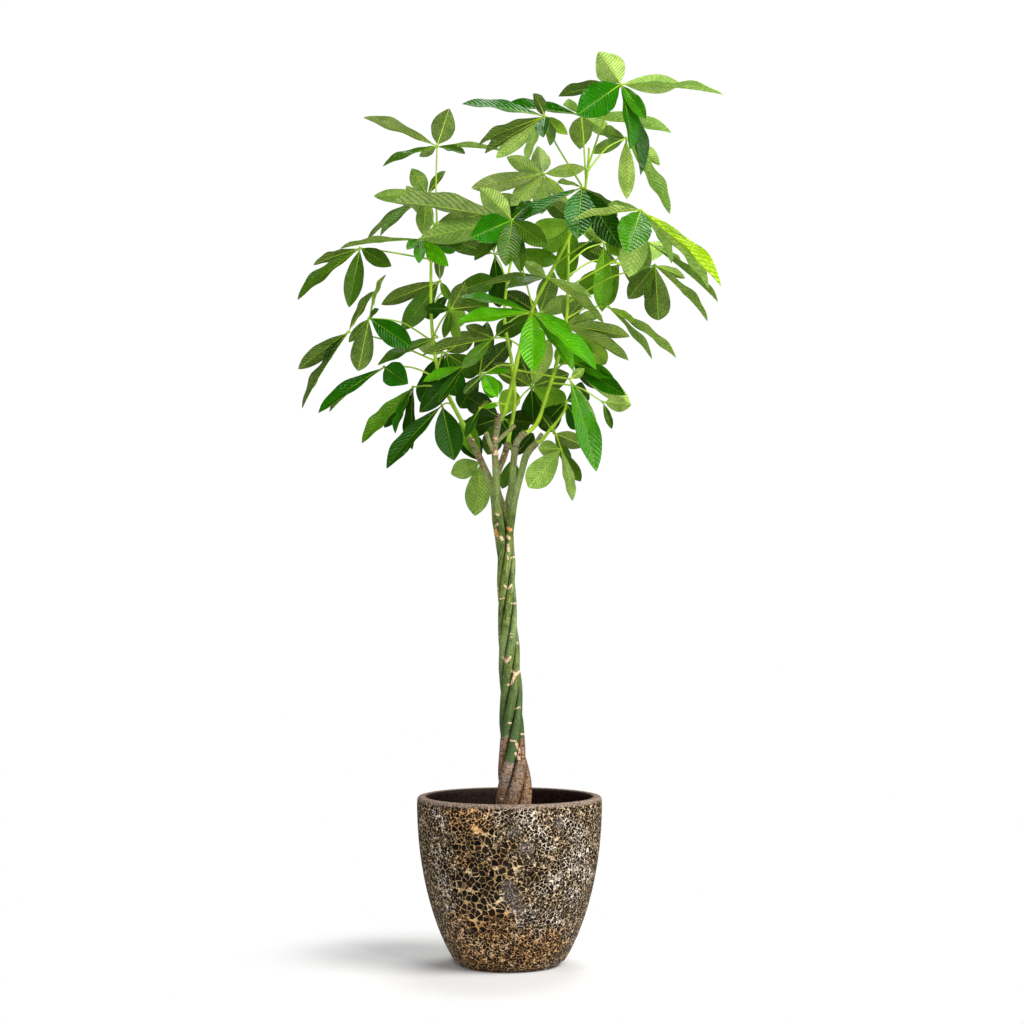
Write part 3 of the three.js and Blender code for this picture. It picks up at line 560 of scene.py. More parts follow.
def growShoot(name, plan, master, materials):
    chance = random.Random(name)
    shape = leafShape
    axis = smoothRoute([seen(*point) for point in plan["axis"]], shape["axisStep"])
    low, high = plan["radii"]
    swell = [1 + shape["knot"] * max(0, math.sin(i * shape["knotPace"])) ** 6 for i in range(len(axis))]
    thick = [(low + (high - low) * i / (len(axis) - 1)) * swell[i] for i in range(len(axis))]
    blades, stalks = [], [rod(axis, thick, 3)]
    for leaf in plan["leaves"]:
        start = next((p for p in axis if p.z >= leaf["root"]), axis[-1])
        hub = seen(*leaf["hub"])
        bend = seen(*leaf["via"]) if "via" in leaf else start.lerp(hub, 0.5) + Vector(
            (0, 0, shape["stalkArch"] * (hub - start).length))
        stalk = smoothRoute([start, bend, hub], shape["stalkStep"])
        first, last = shape["stalkRadii"]
        radii = [first + (last - first) * i / (len(stalk) - 1) for i in range(len(stalk))]
        radii[0] *= shape["stalkEnds"][0]
        radii[-1] *= shape["stalkEnds"][1]
        stalks.append(rod(stalk, radii, 2))
        bpy.ops.mesh.primitive_ico_sphere_add(subdivisions=2, radius=shape["hubRadius"] * mm,
                                              location=hub * mm)
        stalks.append(bpy.context.object)
        bpy.ops.object.transform_apply(location=True, rotation=True, scale=True)
        for x, z, depth, width in leaf["tips"]:
            tip = seen(x, z, leaf["hub"][2] + depth)
            blade, midrib = layLeaflet(master, hub, tip, width, pickLook(x, z, width), chance)
            blades.append(blade)
            stalks.append(midrib)
    foliage = joinAll(blades, name + "Blades")
    setMaterials(foliage, *materials)
    applyModifier(foliage, "SOLIDIFY", thickness=shape["thickness"] * mm, offset=-1, material_offset=1,
                  material_offset_rim=1)
    green = joinAll(stalks, name + "Stalks")
    weld(green)
    setMaterials(green, materials[2])
    shoot = joinAll([foliage, green], pieceName(name, "Foliage"))
    smoothShade(shoot, 50)
    print(shoot.name, len(plan["leaves"]), "leaves,", len(shoot.data.polygons), "faces")
    return shoot


# leaf finishes: flat outline in the leafMap, midrib at 0.5 across, tip at 1 along
veins = {"pairs": 15, "lean": 0.26, "bow": 0.34, "stagger": 0.4}


def veinPattern(add, calc, ramp):
    flat = add("SeparateXYZ", {"Vector": add("UVMap", uv_map="leafMap").outputs["UV"]})
    across = calc("SUBTRACT", flat.outputs["X"], 0.5)
    out = calc("ABSOLUTE", across)
    along = flat.outputs["Y"]
    rise = calc("ADD", calc("MULTIPLY", out, veins["lean"]), calc("MULTIPLY", calc("MULTIPLY", out, out),
                                                                 veins["bow"]))
    rightHalf = calc("MULTIPLY", calc("GREATER_THAN", across, 0), veins["stagger"])
    steps = calc("ADD", calc("MULTIPLY", calc("SUBTRACT", along, rise), veins["pairs"]), rightHalf)
    saw = calc("PINGPONG", steps, 0.5)
    fade = ramp(out, 0.5, 0.30)
    sideVein = calc("MULTIPLY", ramp(saw, 0.08, 0.0), fade)
    quilt = ramp(saw, 0.0, 0.5)
    # painted shade: darker just past each side vein, lighter towards the next, like the shaded side of a
    # ridge
    shade = ramp(calc("FRACT", steps), 0.62, 0.04)
    midrib = ramp(out, calc("MULTIPLY_ADD", along, -0.012, 0.026), 0.006)
    margin = ramp(out, 0.452, 0.490)
    return sideVein, quilt, shade, midrib, margin


def leafTopMaterial():
    material, shader, add, feed, calc, ramp, blendColours = newMaterial("leafTop")
    sideVein, quilt, shade, midrib, margin = veinPattern(add, calc, ramp)
    tint = add("Attribute", attribute_name="leafUpper").outputs["Color"]
    place = add("TexCoord").outputs["Object"]
    broad = grain(add, place, 30.0, 4.0, 0.6)
    dimple = grain(add, place, 115.0)
    fine = grain(add, place, 260.0, 1.0)
    paler = blendColours(0.5, tint, (0.34, 0.56, 0.03))
    darker = blendColours(1.0, tint, (0.30, 0.46, 0.35), "MULTIPLY")
    base = blendColours(ramp(broad, 0.40, 0.66, 0.0, 0.6), tint, darker)
    base = blendColours(ramp(fine, 0.56, 0.40, 0.0, 0.45), base, darker)
    # painted shade beside the side veins
    base = blendColours(calc("MULTIPLY", shade, 0.78), base, darker)
    base = blendColours(calc("MULTIPLY", sideVein, ramp(broad, 0.3, 0.6, 0.2, 0.55)), base, paler)
    base = blendColours(calc("MULTIPLY", midrib, 0.85), base, paler)
    base = blendColours(calc("MULTIPLY", margin, 0.6), base, darker)
    coat(feed, shader, base, ramp(fine, 0.3, 0.7, 0.10, 0.20), 0.17)
    height = calc("ADD", calc("MULTIPLY", quilt, 1.0), calc("MULTIPLY", dimple, 2.0))
    height = calc("ADD", height, calc("MULTIPLY", fine, 0.20))
    height = calc("SUBTRACT", height, calc("MULTIPLY", midrib, 1.2))
    emboss(add, feed, shader, height, 0.7, 0.0014)
    glow = add("BsdfTranslucent", {"Color": blendColours(0.3, base, (0.32, 0.72, 0.01))})
    layOver(material, shader, add, feed, glow, 0.3)
    return material


def leafUnderMaterial():
    material, shader, add, feed, calc, ramp, blendColours = newMaterial("leafUnder")
    sideVein, quilt, shade, midrib, margin = veinPattern(add, calc, ramp)
    tint = add("Attribute", attribute_name="leafLower").outputs["Color"]
    place = add("TexCoord").outputs["Object"]
    broad = grain(add, place, 32.0, 4.0, 0.6)
    fine = grain(add, place, 240.0, 1.0)
    paler = blendColours(0.5, tint, (0.64, 0.82, 0.24))
    darker = blendColours(1.0, tint, (0.32, 0.46, 0.28), "MULTIPLY")
    base = blendColours(ramp(broad, 0.40, 0.66, 0.0, 0.55), tint, darker)
    # painted shade beside the side veins
    base = blendColours(calc("MULTIPLY", shade, ramp(broad, 0.36, 0.60, 0.40, 0.78)), base, darker)
    base = blendColours(ramp(fine, 0.56, 0.38, 0.0, 0.4), base, darker)
    base = blendColours(ramp(fine, 0.56, 0.72, 0.0, 0.3), base, paler)
    base = blendColours(calc("MULTIPLY", sideVein, ramp(broad, 0.3, 0.6, 0.5, 0.85)), base, paler)
    base = blendColours(calc("MULTIPLY", midrib, 0.95), base, paler)
    base = blendColours(calc("MULTIPLY", margin, 0.7), base, darker)
    coat(feed, shader, base, ramp(fine, 0.3, 0.7, 0.50, 0.68), 0.12)
    height = calc("ADD", sideVein, calc("MULTIPLY", fine, 0.15))
    height = calc("SUBTRACT", height, calc("MULTIPLY", quilt, 1.0))
    emboss(add, feed, shader, height, 0.6, 0.0013)
    glow = add("BsdfTranslucent", {"Color": blendColours(0.25, base, (0.40, 0.78, 0.02))})
    layOver(material, shader, add, feed, glow, 0.35)
    return material


def stalkMaterial():
    material, shader, add, feed, calc, ramp, blendColours = newMaterial("greenStalk")
    place = add("TexCoord").outputs["Object"]
    broad = grain(add, place, 16.0)
    fine = grain(add, place, 600.0, 3.0)
    base = blendColours(ramp(broad, 0.35, 0.65), (0.17, 0.34, 0.004), (0.34, 0.52, 0.012))
    base = blendColours(ramp(fine, 0.55, 0.75, 0.0, 0.5), base, (0.12, 0.25, 0.006))
    coat(feed, shader, base, 0.42, 0.4)
    emboss(add, feed, shader, fine, 0.25, 0.0006)
    return material


leafMaterials = [leafTopMaterial(), leafUnderMaterial(), stalkMaterial()]
masterLeaflet = makeMasterLeaflet()
foliage = {name: growShoot(name, plan, masterLeaflet, leafMaterials) for name, plan in shootPlans.items()}
bpy.data.objects.remove(masterLeaflet)


# trunk: five stems wound round each other, then each on its own way, points are (x, z, y)
braid = {
    "foot": 232, "bend": 306, "top": 858, "lead": 445, "phase": 632, "step": 24, "ring": 2.2,
    "axis": [(300, 11), (368, 9), (458, 5), (548, 3), (632, -1.5), (722, -5), (814, -7), (858, -10)],
    "radii": [(232, 13.2), (328, 12.9), (368, 12.1), (408, 10.6), (430, 9.8), (458, 9.4), (530, 9.0),
              (650, 8.3), (700, 7.6), (860, 7.2), (900, 7.1), (1060, 6.6)],
    "circle": [(232, 23.9), (328, 24.6), (368, 22.5), (408, 18.6), (430, 17.0), (458, 15.9), (530, 14.4),
               (650, 12.9), (700, 11.5), (860, 11.0)],
}
stemPlans = {
    "stem_left": {"strand": 0, "woodyTop": 452, "corkFrom": 960, "stubs": [],
                  "free": [(-28, 890, 3), (-31, 930, 8), (-37, 962, 12), (-57, 1006, 16), (-79, 1052, 20)]},
    "stem_centre": {"strand": 1, "woodyTop": 402, "corkFrom": 985,
                    "stubs": [[(-34, 1026, -8), (-47, 1064, -16)], [(-26, 1044, -6), (11, 1078, -14)]],
                    "free": [(-19, 888, -14), (-25, 930, -13), (-26, 960, -10), (-28, 998, -8),
                             (-29, 1038, -6), (-24, 1078, -3), (-20, 1100, -2)]},
    "stem_low_right": {"strand": 2, "woodyTop": 444, "corkFrom": 1012,
                       "stubs": [[(50, 1038, -10), (64, 1060, 4)]],
                       "free": [(4, 888, -10), (14, 946, -13), (25, 988, -13), (33, 1016, -12),
                                (42, 1030, -11), (54, 1042, -10)]},
    "stem_back": {"strand": 3, "woodyTop": 430, "corkFrom": 890, "stubs": [],
                  "free": [(-1, 880, 5), (-8, 904, 3), (-16, 924, 10), (-22, 940, 18), (-25, 956, 25),
                           (-23, 984, 35), (-12, 1012, 45), (-3, 1042, 51)]},
    "stem_right": {"strand": 4, "woodyTop": 430, "corkFrom": 1000, "stubs": [],
                   "free": [(-11, 880, 17), (-3, 906, 19), (-1, 930, 18), (5, 960, 15), (9, 1012, 15),
                            (15, 1044, 20), (31, 1064, 27)]},
}
# leaf scars that show from the front: strokes of (x, z), each with a width
scarStrokes = [
    ([(-10, 757), (-3, 750), (4, 758)], 2.6), ([(4, 721), (16, 721)], 2.4), ([(-20, 731), (-10, 731)], 1.6),
    ([(1, 661), (7, 660)], 1.6), ([(3, 654), (5, 653)], 2.0), ([(-13, 614), (-6, 604), (2, 614)], 3.2),
    ([(5, 586), (13, 579), (20, 585)], 3.4), ([(10, 576), (5, 564)], 4.0), ([(-2, 558), (3, 560)], 3.0),
    ([(11, 510), (20, 514)], 2.0), ([(-2, 482), (3, 482)], 2.4), ([(2, 447), (12, 446)], 2.4),
    ([(14, 440), (20, 424)], 4.0), ([(13, 421), (19, 410)], 4.5), ([(-18, 330), (-12, 330)], 2.0),
    ([(-27, 868), (-25, 856)], 3.8), ([(-5, 872), (3, 868)], 4.2), ([(-5, 856), (0, 851)], 4.0),
    ([(-17, 854), (-15, 849)], 4.4), ([(-3, 838), (-2, 826)], 3.4), ([(-4, 816), (-3, 810)], 2.0),
    ([(3, 812), (14, 816)], 2.4), ([(-24, 722), (-24, 752)], 2.2), ([(-29, 1025), (-24, 1024)], 3.0),
    ([(-31, 1052), (-26, 1050)], 3.0), ([(-31, 1020), (-12, 1021)], 2.6), ([(-26, 900), (-22, 898)], 3.4),
    ([(-27, 876), (-24, 880)], 3.0),
]


def strandPoint(strand, height):
    turns = (max(height, braid["bend"]) - braid["phase"]) / braid["lead"] + strand / len(stemPlans)
    radius = between(braid["circle"], height)
    return Vector((between(braid["axis"], height) + radius * math.cos(2 * math.pi * turns),
                   radius * math.sin(2 * math.pi * turns), height))


def stemRoute(plan):
    points = [strandPoint(plan["strand"], braid["foot"]),
              strandPoint(plan["strand"], (braid["foot"] + braid["bend"]) / 2)]
    height = braid["bend"]
    while height < braid["top"]:
        points.append(strandPoint(plan["strand"], height))
        height += braid["step"]
    points += [Vector((x, y, z)) for x, z, y in plan["free"]]
    return [seen(point.x, point.z, point.y) for point in points]


def strokeNear(x, z, strokes):  # how far inside the nearest stroke a point lies, 0 to 1
    best = 0.0
    for line, width in strokes:
        for (ax, az), (bx, bz) in zip(line, line[1:]):
            dx, dz = bx - ax, bz - az
            share = min(max(((x - ax) * dx + (z - az) * dz) / (dx * dx + dz * dz), 0), 1)
            gap = math.hypot(x - ax - share * dx, z - az - share * dz)
            best = max(best, 1 - gap / width)
    return best


stemCourses = {name: smoothRoute(stemRoute(plan), braid["ring"]) for name, plan in stemPlans.items()}
# painted shade in the creases between the stems, leaf scars behind (a bow, a bar or a dot in each step) and
# where bark is woody
barkMarks = {
    "ringRise": 2.16, "rings": 6, "reach": 12, "sharp": (0.6, 3.0), "soft": (0, 9), "softShare": 0.35,
    "rearHeights": (340, 1040, 62), "rearJitter": 20, "rearTurn": 6.283, "rearKinds": "vbd", "rearHalf": 7,
    "rearBow": 0.8, "rearWidth": 2.4, "scarGain": 1.8, "scarLift": 0.55,
    "edgeWander": 7, "edgePace": (0.12, 0.12, 0.05), "edgeSoft": 5, "corkFade": (20, 40),
    "corkTone": (0.65, 0.7), "corkPace": 110, "lump": 0.12, "lumpPace": 0.026, "strandShift": 7.7,
    "stubRadius": 4.4, "stubStep": 3, "stubTone": 0.35,
}


# painted shade between the stems: near 1 deep in a crease, fading out over a sharp and a soft range
def creaseShadeAt(name, point):  # how deep between this stem and its neighbours a point lies, 0 to 1
    marks = barkMarks
    gap = 99.0
    for other, course in stemCourses.items():
        if other == name:
            continue
        at = min(max(round((point.z - course[0].z) / marks["ringRise"]), 0), len(course) - 1)
        near = min(course[max(at - marks["rings"], 0):at + marks["rings"] + 1],
                   key=lambda p: abs(p.z - point.z))
        if abs(near.z - point.z) < marks["reach"]:
            away = math.hypot(point.x - near.x, point.y - near.y)
            gap = min(gap, away - between(braid["radii"], near.z))
    soft = marks["softShare"]
    return 1 - (1 - soft) * softStep(*marks["sharp"], gap) - soft * softStep(*marks["soft"], gap)


def rearScars(chance):  # angle round the stem, height and kind of each
    turn, jitter, kinds = [barkMarks[key] for key in ("rearTurn", "rearJitter", "rearKinds")]
    return [(chance.uniform(0, turn), z + chance.uniform(-jitter, jitter), chance.choice(kinds))
            for z in range(*barkMarks["rearHeights"])]


def rearScarAt(scars, spoke, height):  # how far inside the nearest rear scar a point lies, 0 to 1
    marks = barkMarks
    angle = math.atan2(spoke.y, spoke.x)
    best = 0
    for turn, z, kind in scars:
        arc = ((angle - turn + math.pi) % (2 * math.pi) - math.pi) * spoke.length
        gap = abs(height - z)
        if kind == "d":
            gap = math.hypot(arc, gap)
        elif abs(arc) >= marks["rearHalf"]:
            continue
        elif kind == "v":
            gap = abs(height - z - abs(arc) * marks["rearBow"])
        best = max(best, 1 - gap / marks["rearWidth"])
    return best


def woodyAt(plan, point, spoke, height):  # grey-brown bark at the foot and cork at the top, 0 to 1
    marks = barkMarks
    spot = Vector(a * b for a, b in zip((spoke.x, spoke.y, height), marks["edgePace"]))
    edge = plan["woodyTop"] + marks["edgeWander"] * noise.noise(spot)
    bark = 1 - softStep(edge - marks["edgeSoft"], edge + marks["edgeSoft"], height)
    before, after = marks["corkFade"]
    cork = softStep(plan["corkFrom"] - before, plan["corkFrom"] + after, height)
    steady, patchy = marks["corkTone"]
    return max(bark, cork * (steady + patchy * noise.noise(point * marks["corkPace"])))


def growStem(name, plan, material):
    marks = barkMarks
    route = stemCourses[name]
    rear = rearScars(random.Random(name))
    radii = []
    for point in route:
        spot = Vector((point.z * marks["lumpPace"], plan["strand"] * marks["strandShift"], 0))
        radii.append(between(braid["radii"], point.z) * (1 + marks["lump"] * noise.noise(spot)))
    stem = rod(route, radii, 10)
    around = len(stem.data.vertices) // (len(route) + 2)  # the caps' two rings come first
    scar, woody, creaseShade, run = [], [], [], []
    for i, vertex in enumerate(stem.data.vertices):
        ring = len(route) - 1 if i < around else max(i // around - 2, 0)
        centre = route[ring]
        spoke = vertex.co / mm - centre
        hit = strokeNear(*pictured(vertex.co / mm), scarStrokes) if spoke.y < 1 else 0
        if spoke.y >= 1 or centre.y >= 0:
            hit = max(hit, rearScarAt(rear, spoke, centre.z))
        scar.append(min(1, hit * marks["scarGain"]))
        woody.append(woodyAt(plan, vertex.co, spoke, centre.z))
        creaseShade.append(creaseShadeAt(name, vertex.co / mm))
        run.extend((spoke.x * mm, spoke.y * mm, ring * braid["ring"] * mm))
    for key, values in (("scar", scar), ("woody", woody), ("creaseShade", creaseShade)):
        stem.data.attributes.new(key, "FLOAT", "POINT").data.foreach_set("value", values)
    stem.data.attributes.new("barkRun", "FLOAT_VECTOR", "POINT").data.foreach_set("vector", run)
    normals = [vertex.normal.copy() for vertex in stem.data.vertices]
    for vertex, normal, mark in zip(stem.data.vertices, normals, scar):
        vertex.co += normal * mark * marks["scarLift"] * mm
    pieces = [stem]
    for line in plan["stubs"]:
        points = smoothRoute([seen(*point) for point in line], marks["stubStep"])
        stub = rod(points, [marks["stubRadius"]] * len(points), 4)
        tones = [marks["stubTone"]] * len(stub.data.vertices)
        for key in ("scar", "woody"):
            stub.data.attributes.new(key, "FLOAT", "POINT").data.foreach_set("value", tones)
        pieces.append(stub)
    stem = joinAll(pieces, pieceName(name, "Bark"))
    setMaterials(stem, material)
    weld(stem)
    smoothShade(stem, 60)
    print(stem.name, len(stem.data.polygons), "faces")
    return stem


def barkMaterial():
    material, shader, add, feed, calc, ramp, blendColours = newMaterial("stemBark")
    run = add("Attribute", attribute_name="barkRun").outputs["Vector"]
    scar, woody, creaseShade = [add("Attribute", attribute_name=name).outputs["Fac"]
                           for name in ("scar", "woody", "creaseShade")]
    place = add("TexCoord").outputs["Object"]
    along = add("Mapping", {"Vector": run, "Scale": (1, 1, 0.12)}).outputs["Vector"]
    across = add("Mapping", {"Vector": run, "Scale": (0.25, 0.25, 1.6)}).outputs["Vector"]
    streaks = grain(add, along, 420.0, 5.0)
    cracks = grain(add, across, 300.0, 4.0)
    patches = grain(add, place, 30.0, 4.0, 0.6)
    ages = grain(add, place, 13.0, 1.0)
    grit = grain(add, place, 400.0, 5.0, 0.65)
    specks = add("TexVoronoi", {"Vector": run, "Scale": 230.0}).outputs["Distance"]
    green = blendColours(ramp(patches, 0.38, 0.62), (0.038, 0.078, 0.006), (0.145, 0.205, 0.026))
    green = blendColours(ramp(ages, 0.50, 0.60, 0.0, 0.7), green, (0.165, 0.245, 0.080))
    green = blendColours(ramp(streaks, 0.50, 0.70, 0.0, 0.5), green, (0.38, 0.44, 0.20))
    height = add("SeparateXYZ", {"Vector": place}).outputs["Z"]
    green = blendColours(ramp(height, 0.66, 0.47, 0.0, 0.8), green, (0.040, 0.085, 0.024))
    green = blendColours(ramp(height, 0.86, 0.96, 0.0, 0.5), green, (0.27, 0.36, 0.10))
    green = blendColours(ramp(grit, 0.49, 0.38, 0.0, 0.8), green, (0.018, 0.028, 0.004))
    green = blendColours(ramp(specks, 0.17, 0.07, 0.0, 0.7), green, (0.62, 0.60, 0.36))
    brown = blendColours(ramp(streaks, 0.36, 0.62), (0.060, 0.031, 0.015), (0.30, 0.19, 0.12))
    brown = blendColours(ramp(ages, 0.50, 0.58, 0.0, 0.5), brown, (0.34, 0.27, 0.22))
    brown = blendColours(ramp(patches, 0.52, 0.40, 0.0, 0.5), brown, (0.24, 0.115, 0.040))
    brown = blendColours(ramp(cracks, 0.48, 0.40, 0.0, 0.9), brown, (0.016, 0.008, 0.004))
    brown = blendColours(ramp(grit, 0.56, 0.68, 0.0, 0.8), brown, (0.66, 0.50, 0.36))
    base = blendColours(woody, green, brown)
    cream = blendColours(ramp(grit, 0.38, 0.60), (0.40, 0.20, 0.09), (0.82, 0.62, 0.42))
    rusty = calc("MULTIPLY", ramp(height, 0.846, 0.851), ramp(height, 0.872, 0.867, 0.0, 0.75))
    cream = blendColours(rusty, cream, (0.66, 0.22, 0.035))
    scarred = calc("ADD", scar, calc("MULTIPLY", grit, 0.6))
    base = blendColours(ramp(scarred, 0.66, 0.90, 0.0, 0.95), base, cream)
    # painted shade: bark darkened to near black in the creases between the stems
    base = blendColours(calc("MULTIPLY", creaseShade, 0.97), base, (0.003, 0.003, 0.001))
    coat(feed, shader, base, ramp(woody, 0.0, 1.0, 0.5, 0.85), 0.22)
    relief = calc("ADD", calc("MULTIPLY", streaks, calc("MULTIPLY_ADD", woody, 1.2, 0.5)),
                  calc("MULTIPLY", grit, 0.7))
    emboss(add, feed, shader, relief, 0.8, 0.0014)
    return material


bark = barkMaterial()
stems = {name: growStem(name, plan, bark) for name, plan in stemPlans.items()}


# planter
planter = {
    "height": 333, "radius": 184, "foot": 100, "wall": 23, "swellTop": 323, "swellPower": 0.75, "sides": 160,
    "underside": -9, "footEdge": [(-5, 0.4), (-1, 2), (3, 6)],  # radius past the foot's, height
    "outside": (12, 322, 6), "inside": (314, 66, -14),  # heights: from, to, step
    "lip": [(0.4, 7), (1.6, 3.2), (4, 1), (8, 0.1), (14, 0.3), (19, 1.6), (22, 4.6), (23, 9)],  # in, down
    "heel": [(2, 54), (8, 38), (16, 29), (30, 26)],  # in, height
}


def outerRadius(height):
    share = min(height / planter["swellTop"], 1)
    return planter["foot"] + (planter["radius"] - planter["foot"]) * math.sin(
        math.pi / 2 * share ** planter["swellPower"])


def potProfile():  # radius and height, from the foot up the outside, over the lip and down the inside
    outside = [(planter["foot"] + out, height) for out, height in planter["footEdge"]]
    outside += [(outerRadius(height), height) for height in range(*planter["outside"])]
    lip = [(planter["radius"] - inwards, planter["height"] - down) for inwards, down in planter["lip"]]
    inside = [(outerRadius(height) - planter["wall"], height) for height in range(*planter["inside"])]
    heelRadius = outerRadius(planter["inside"][1]) - planter["wall"]
    heel = [(heelRadius - inwards, height) for inwards, height in planter["heel"]]
    return outside + lip + inside + heel


# patches of the glaze on the side to the camera, (x, z, radius) as seen: whitish bloom, dark round cells,
# orange brown, and smooth slate grey. All round, soft noise lays more of them.
glazeZones = {
    "bloom": [(-146, 300, 13), (-132, 288, 14), (-144, 222, 11), (-140, 196, 13), (-134, 170, 14),
              (-128, 146, 13), (-118, 112, 12), (-104, 82, 14), (-88, 58, 14), (-66, 40, 15), (-40, 26, 14),
              (-12, 34, 13), (14, 52, 12), (-50, 300, 12), (-22, 296, 16), (30, 292, 22), (58, 262, 18),
              (76, 238, 16), (112, 286, 16), (132, 262, 20), (144, 226, 20), (120, 202, 22), (150, 180, 18),
              (96, 172, 18), (70, 150, 16), (124, 140, 18), (44, 100, 18), (90, 92, 18), (20, 82, 14),
              (60, 60, 14)],
    "cells": [(-100, 236, 16), (-64, 232, 20), (-40, 260, 16), (-22, 214, 20), (-66, 188, 24), (-96, 160, 22),
              (-50, 150, 26), (-16, 174, 24), (-30, 112, 26), (-78, 118, 22), (-60, 84, 22), (14, 196, 14),
              (4, 236, 14), (-130, 190, 10), (52, 176, 12), (20, 150, 14), (-108, 270, 12), (-66, 272, 12)],
    "warm": [(-104, 302, 34), (-60, 300, 34), (-84, 270, 24), (-92, 210, 18), (-80, 60, 40), (-30, 60, 50),
             (-50, 20, 60), (30, 24, 50), (80, 40, 34), (-100, 90, 26)],
    "slate": [(4, 138, 20), (16, 112, 16), (-6, 158, 12), (34, 232, 16), (98, 284, 10), (10, 262, 12)],
}
# how the patches blur and wander, and the noise round the sides and behind
glazeSpread = {"wander": 0.3, "wanderPace": 0.06, "patchSoft": (0.45, 1.35), "away": (-60, 60),
               "aroundPace": 0.022, "aroundShift": 31.7, "aroundSoft": (0.10, 0.40), "innerDepth": 18.5,
               "innerFrom": 20}


def paintZones(pot):
    spread = glazeSpread
    paint = {zone: [] for zone in glazeZones}
    shadedInside = []
    for vertex in pot.data.vertices:
        point = vertex.co / mm
        x, z = pictured(point)
        wander = spread["wander"] * noise.noise(point * spread["wanderPace"])
        away = softStep(*spread["away"], point.y)
        for i, (zone, patches) in enumerate(glazeZones.items()):
            near = 0.0
            if point.y < 0:
                near = max(1 - softStep(*spread["patchSoft"], math.hypot(x - a, z - b) / reach + wander)
                           for a, b, reach in patches)
            shift = Vector((spread["aroundShift"] * i, 0, 0))
            around = softStep(*spread["aroundSoft"], noise.noise(point * spread["aroundPace"] + shift))
            paint[zone].append(max(near, around * away))
        # the inside of the wall, where painted shade goes
        depth = outerRadius(min(point.z, planter["swellTop"])) - math.hypot(point.x, point.y)
        shadedInside.append(1.0 if depth > spread["innerDepth"] and point.z > spread["innerFrom"] else 0.0)
    for zone, values in [*paint.items(), ("innerWallShade", shadedInside)]:
        pot.data.attributes.new(zone, "FLOAT", "POINT").data.foreach_set("value", values)


def makePot(material):
    bpy.ops.object.select_all(action="DESELECT")
    radius, height = planter["foot"] + planter["underside"], 0
    bpy.ops.mesh.primitive_circle_add(vertices=planter["sides"], radius=radius * mm, fill_type="NGON")
    pot = bpy.context.object
    openMesh()
    bpy.ops.mesh.flip_normals()
    bpy.ops.mesh.select_mode(type="EDGE")
    for nextRadius, nextHeight in potProfile():
        bpy.ops.mesh.extrude_edges_move(
            TRANSFORM_OT_translate={"value": (0, 0, (nextHeight - height) * mm)})
        grow = nextRadius / radius
        bpy.ops.transform.resize(value=(grow, grow, 1), center_override=(0, 0, nextHeight * mm))
        radius, height = nextRadius, nextHeight
    bpy.ops.mesh.edge_face_add()
    closeMesh()
    pot.name = "LavaGlazePlanter"
    paintZones(pot)
    setMaterials(pot, material)
    smoothShade(pot, 40)
    print("planter", len(pot.data.polygons), "faces")
    return pot


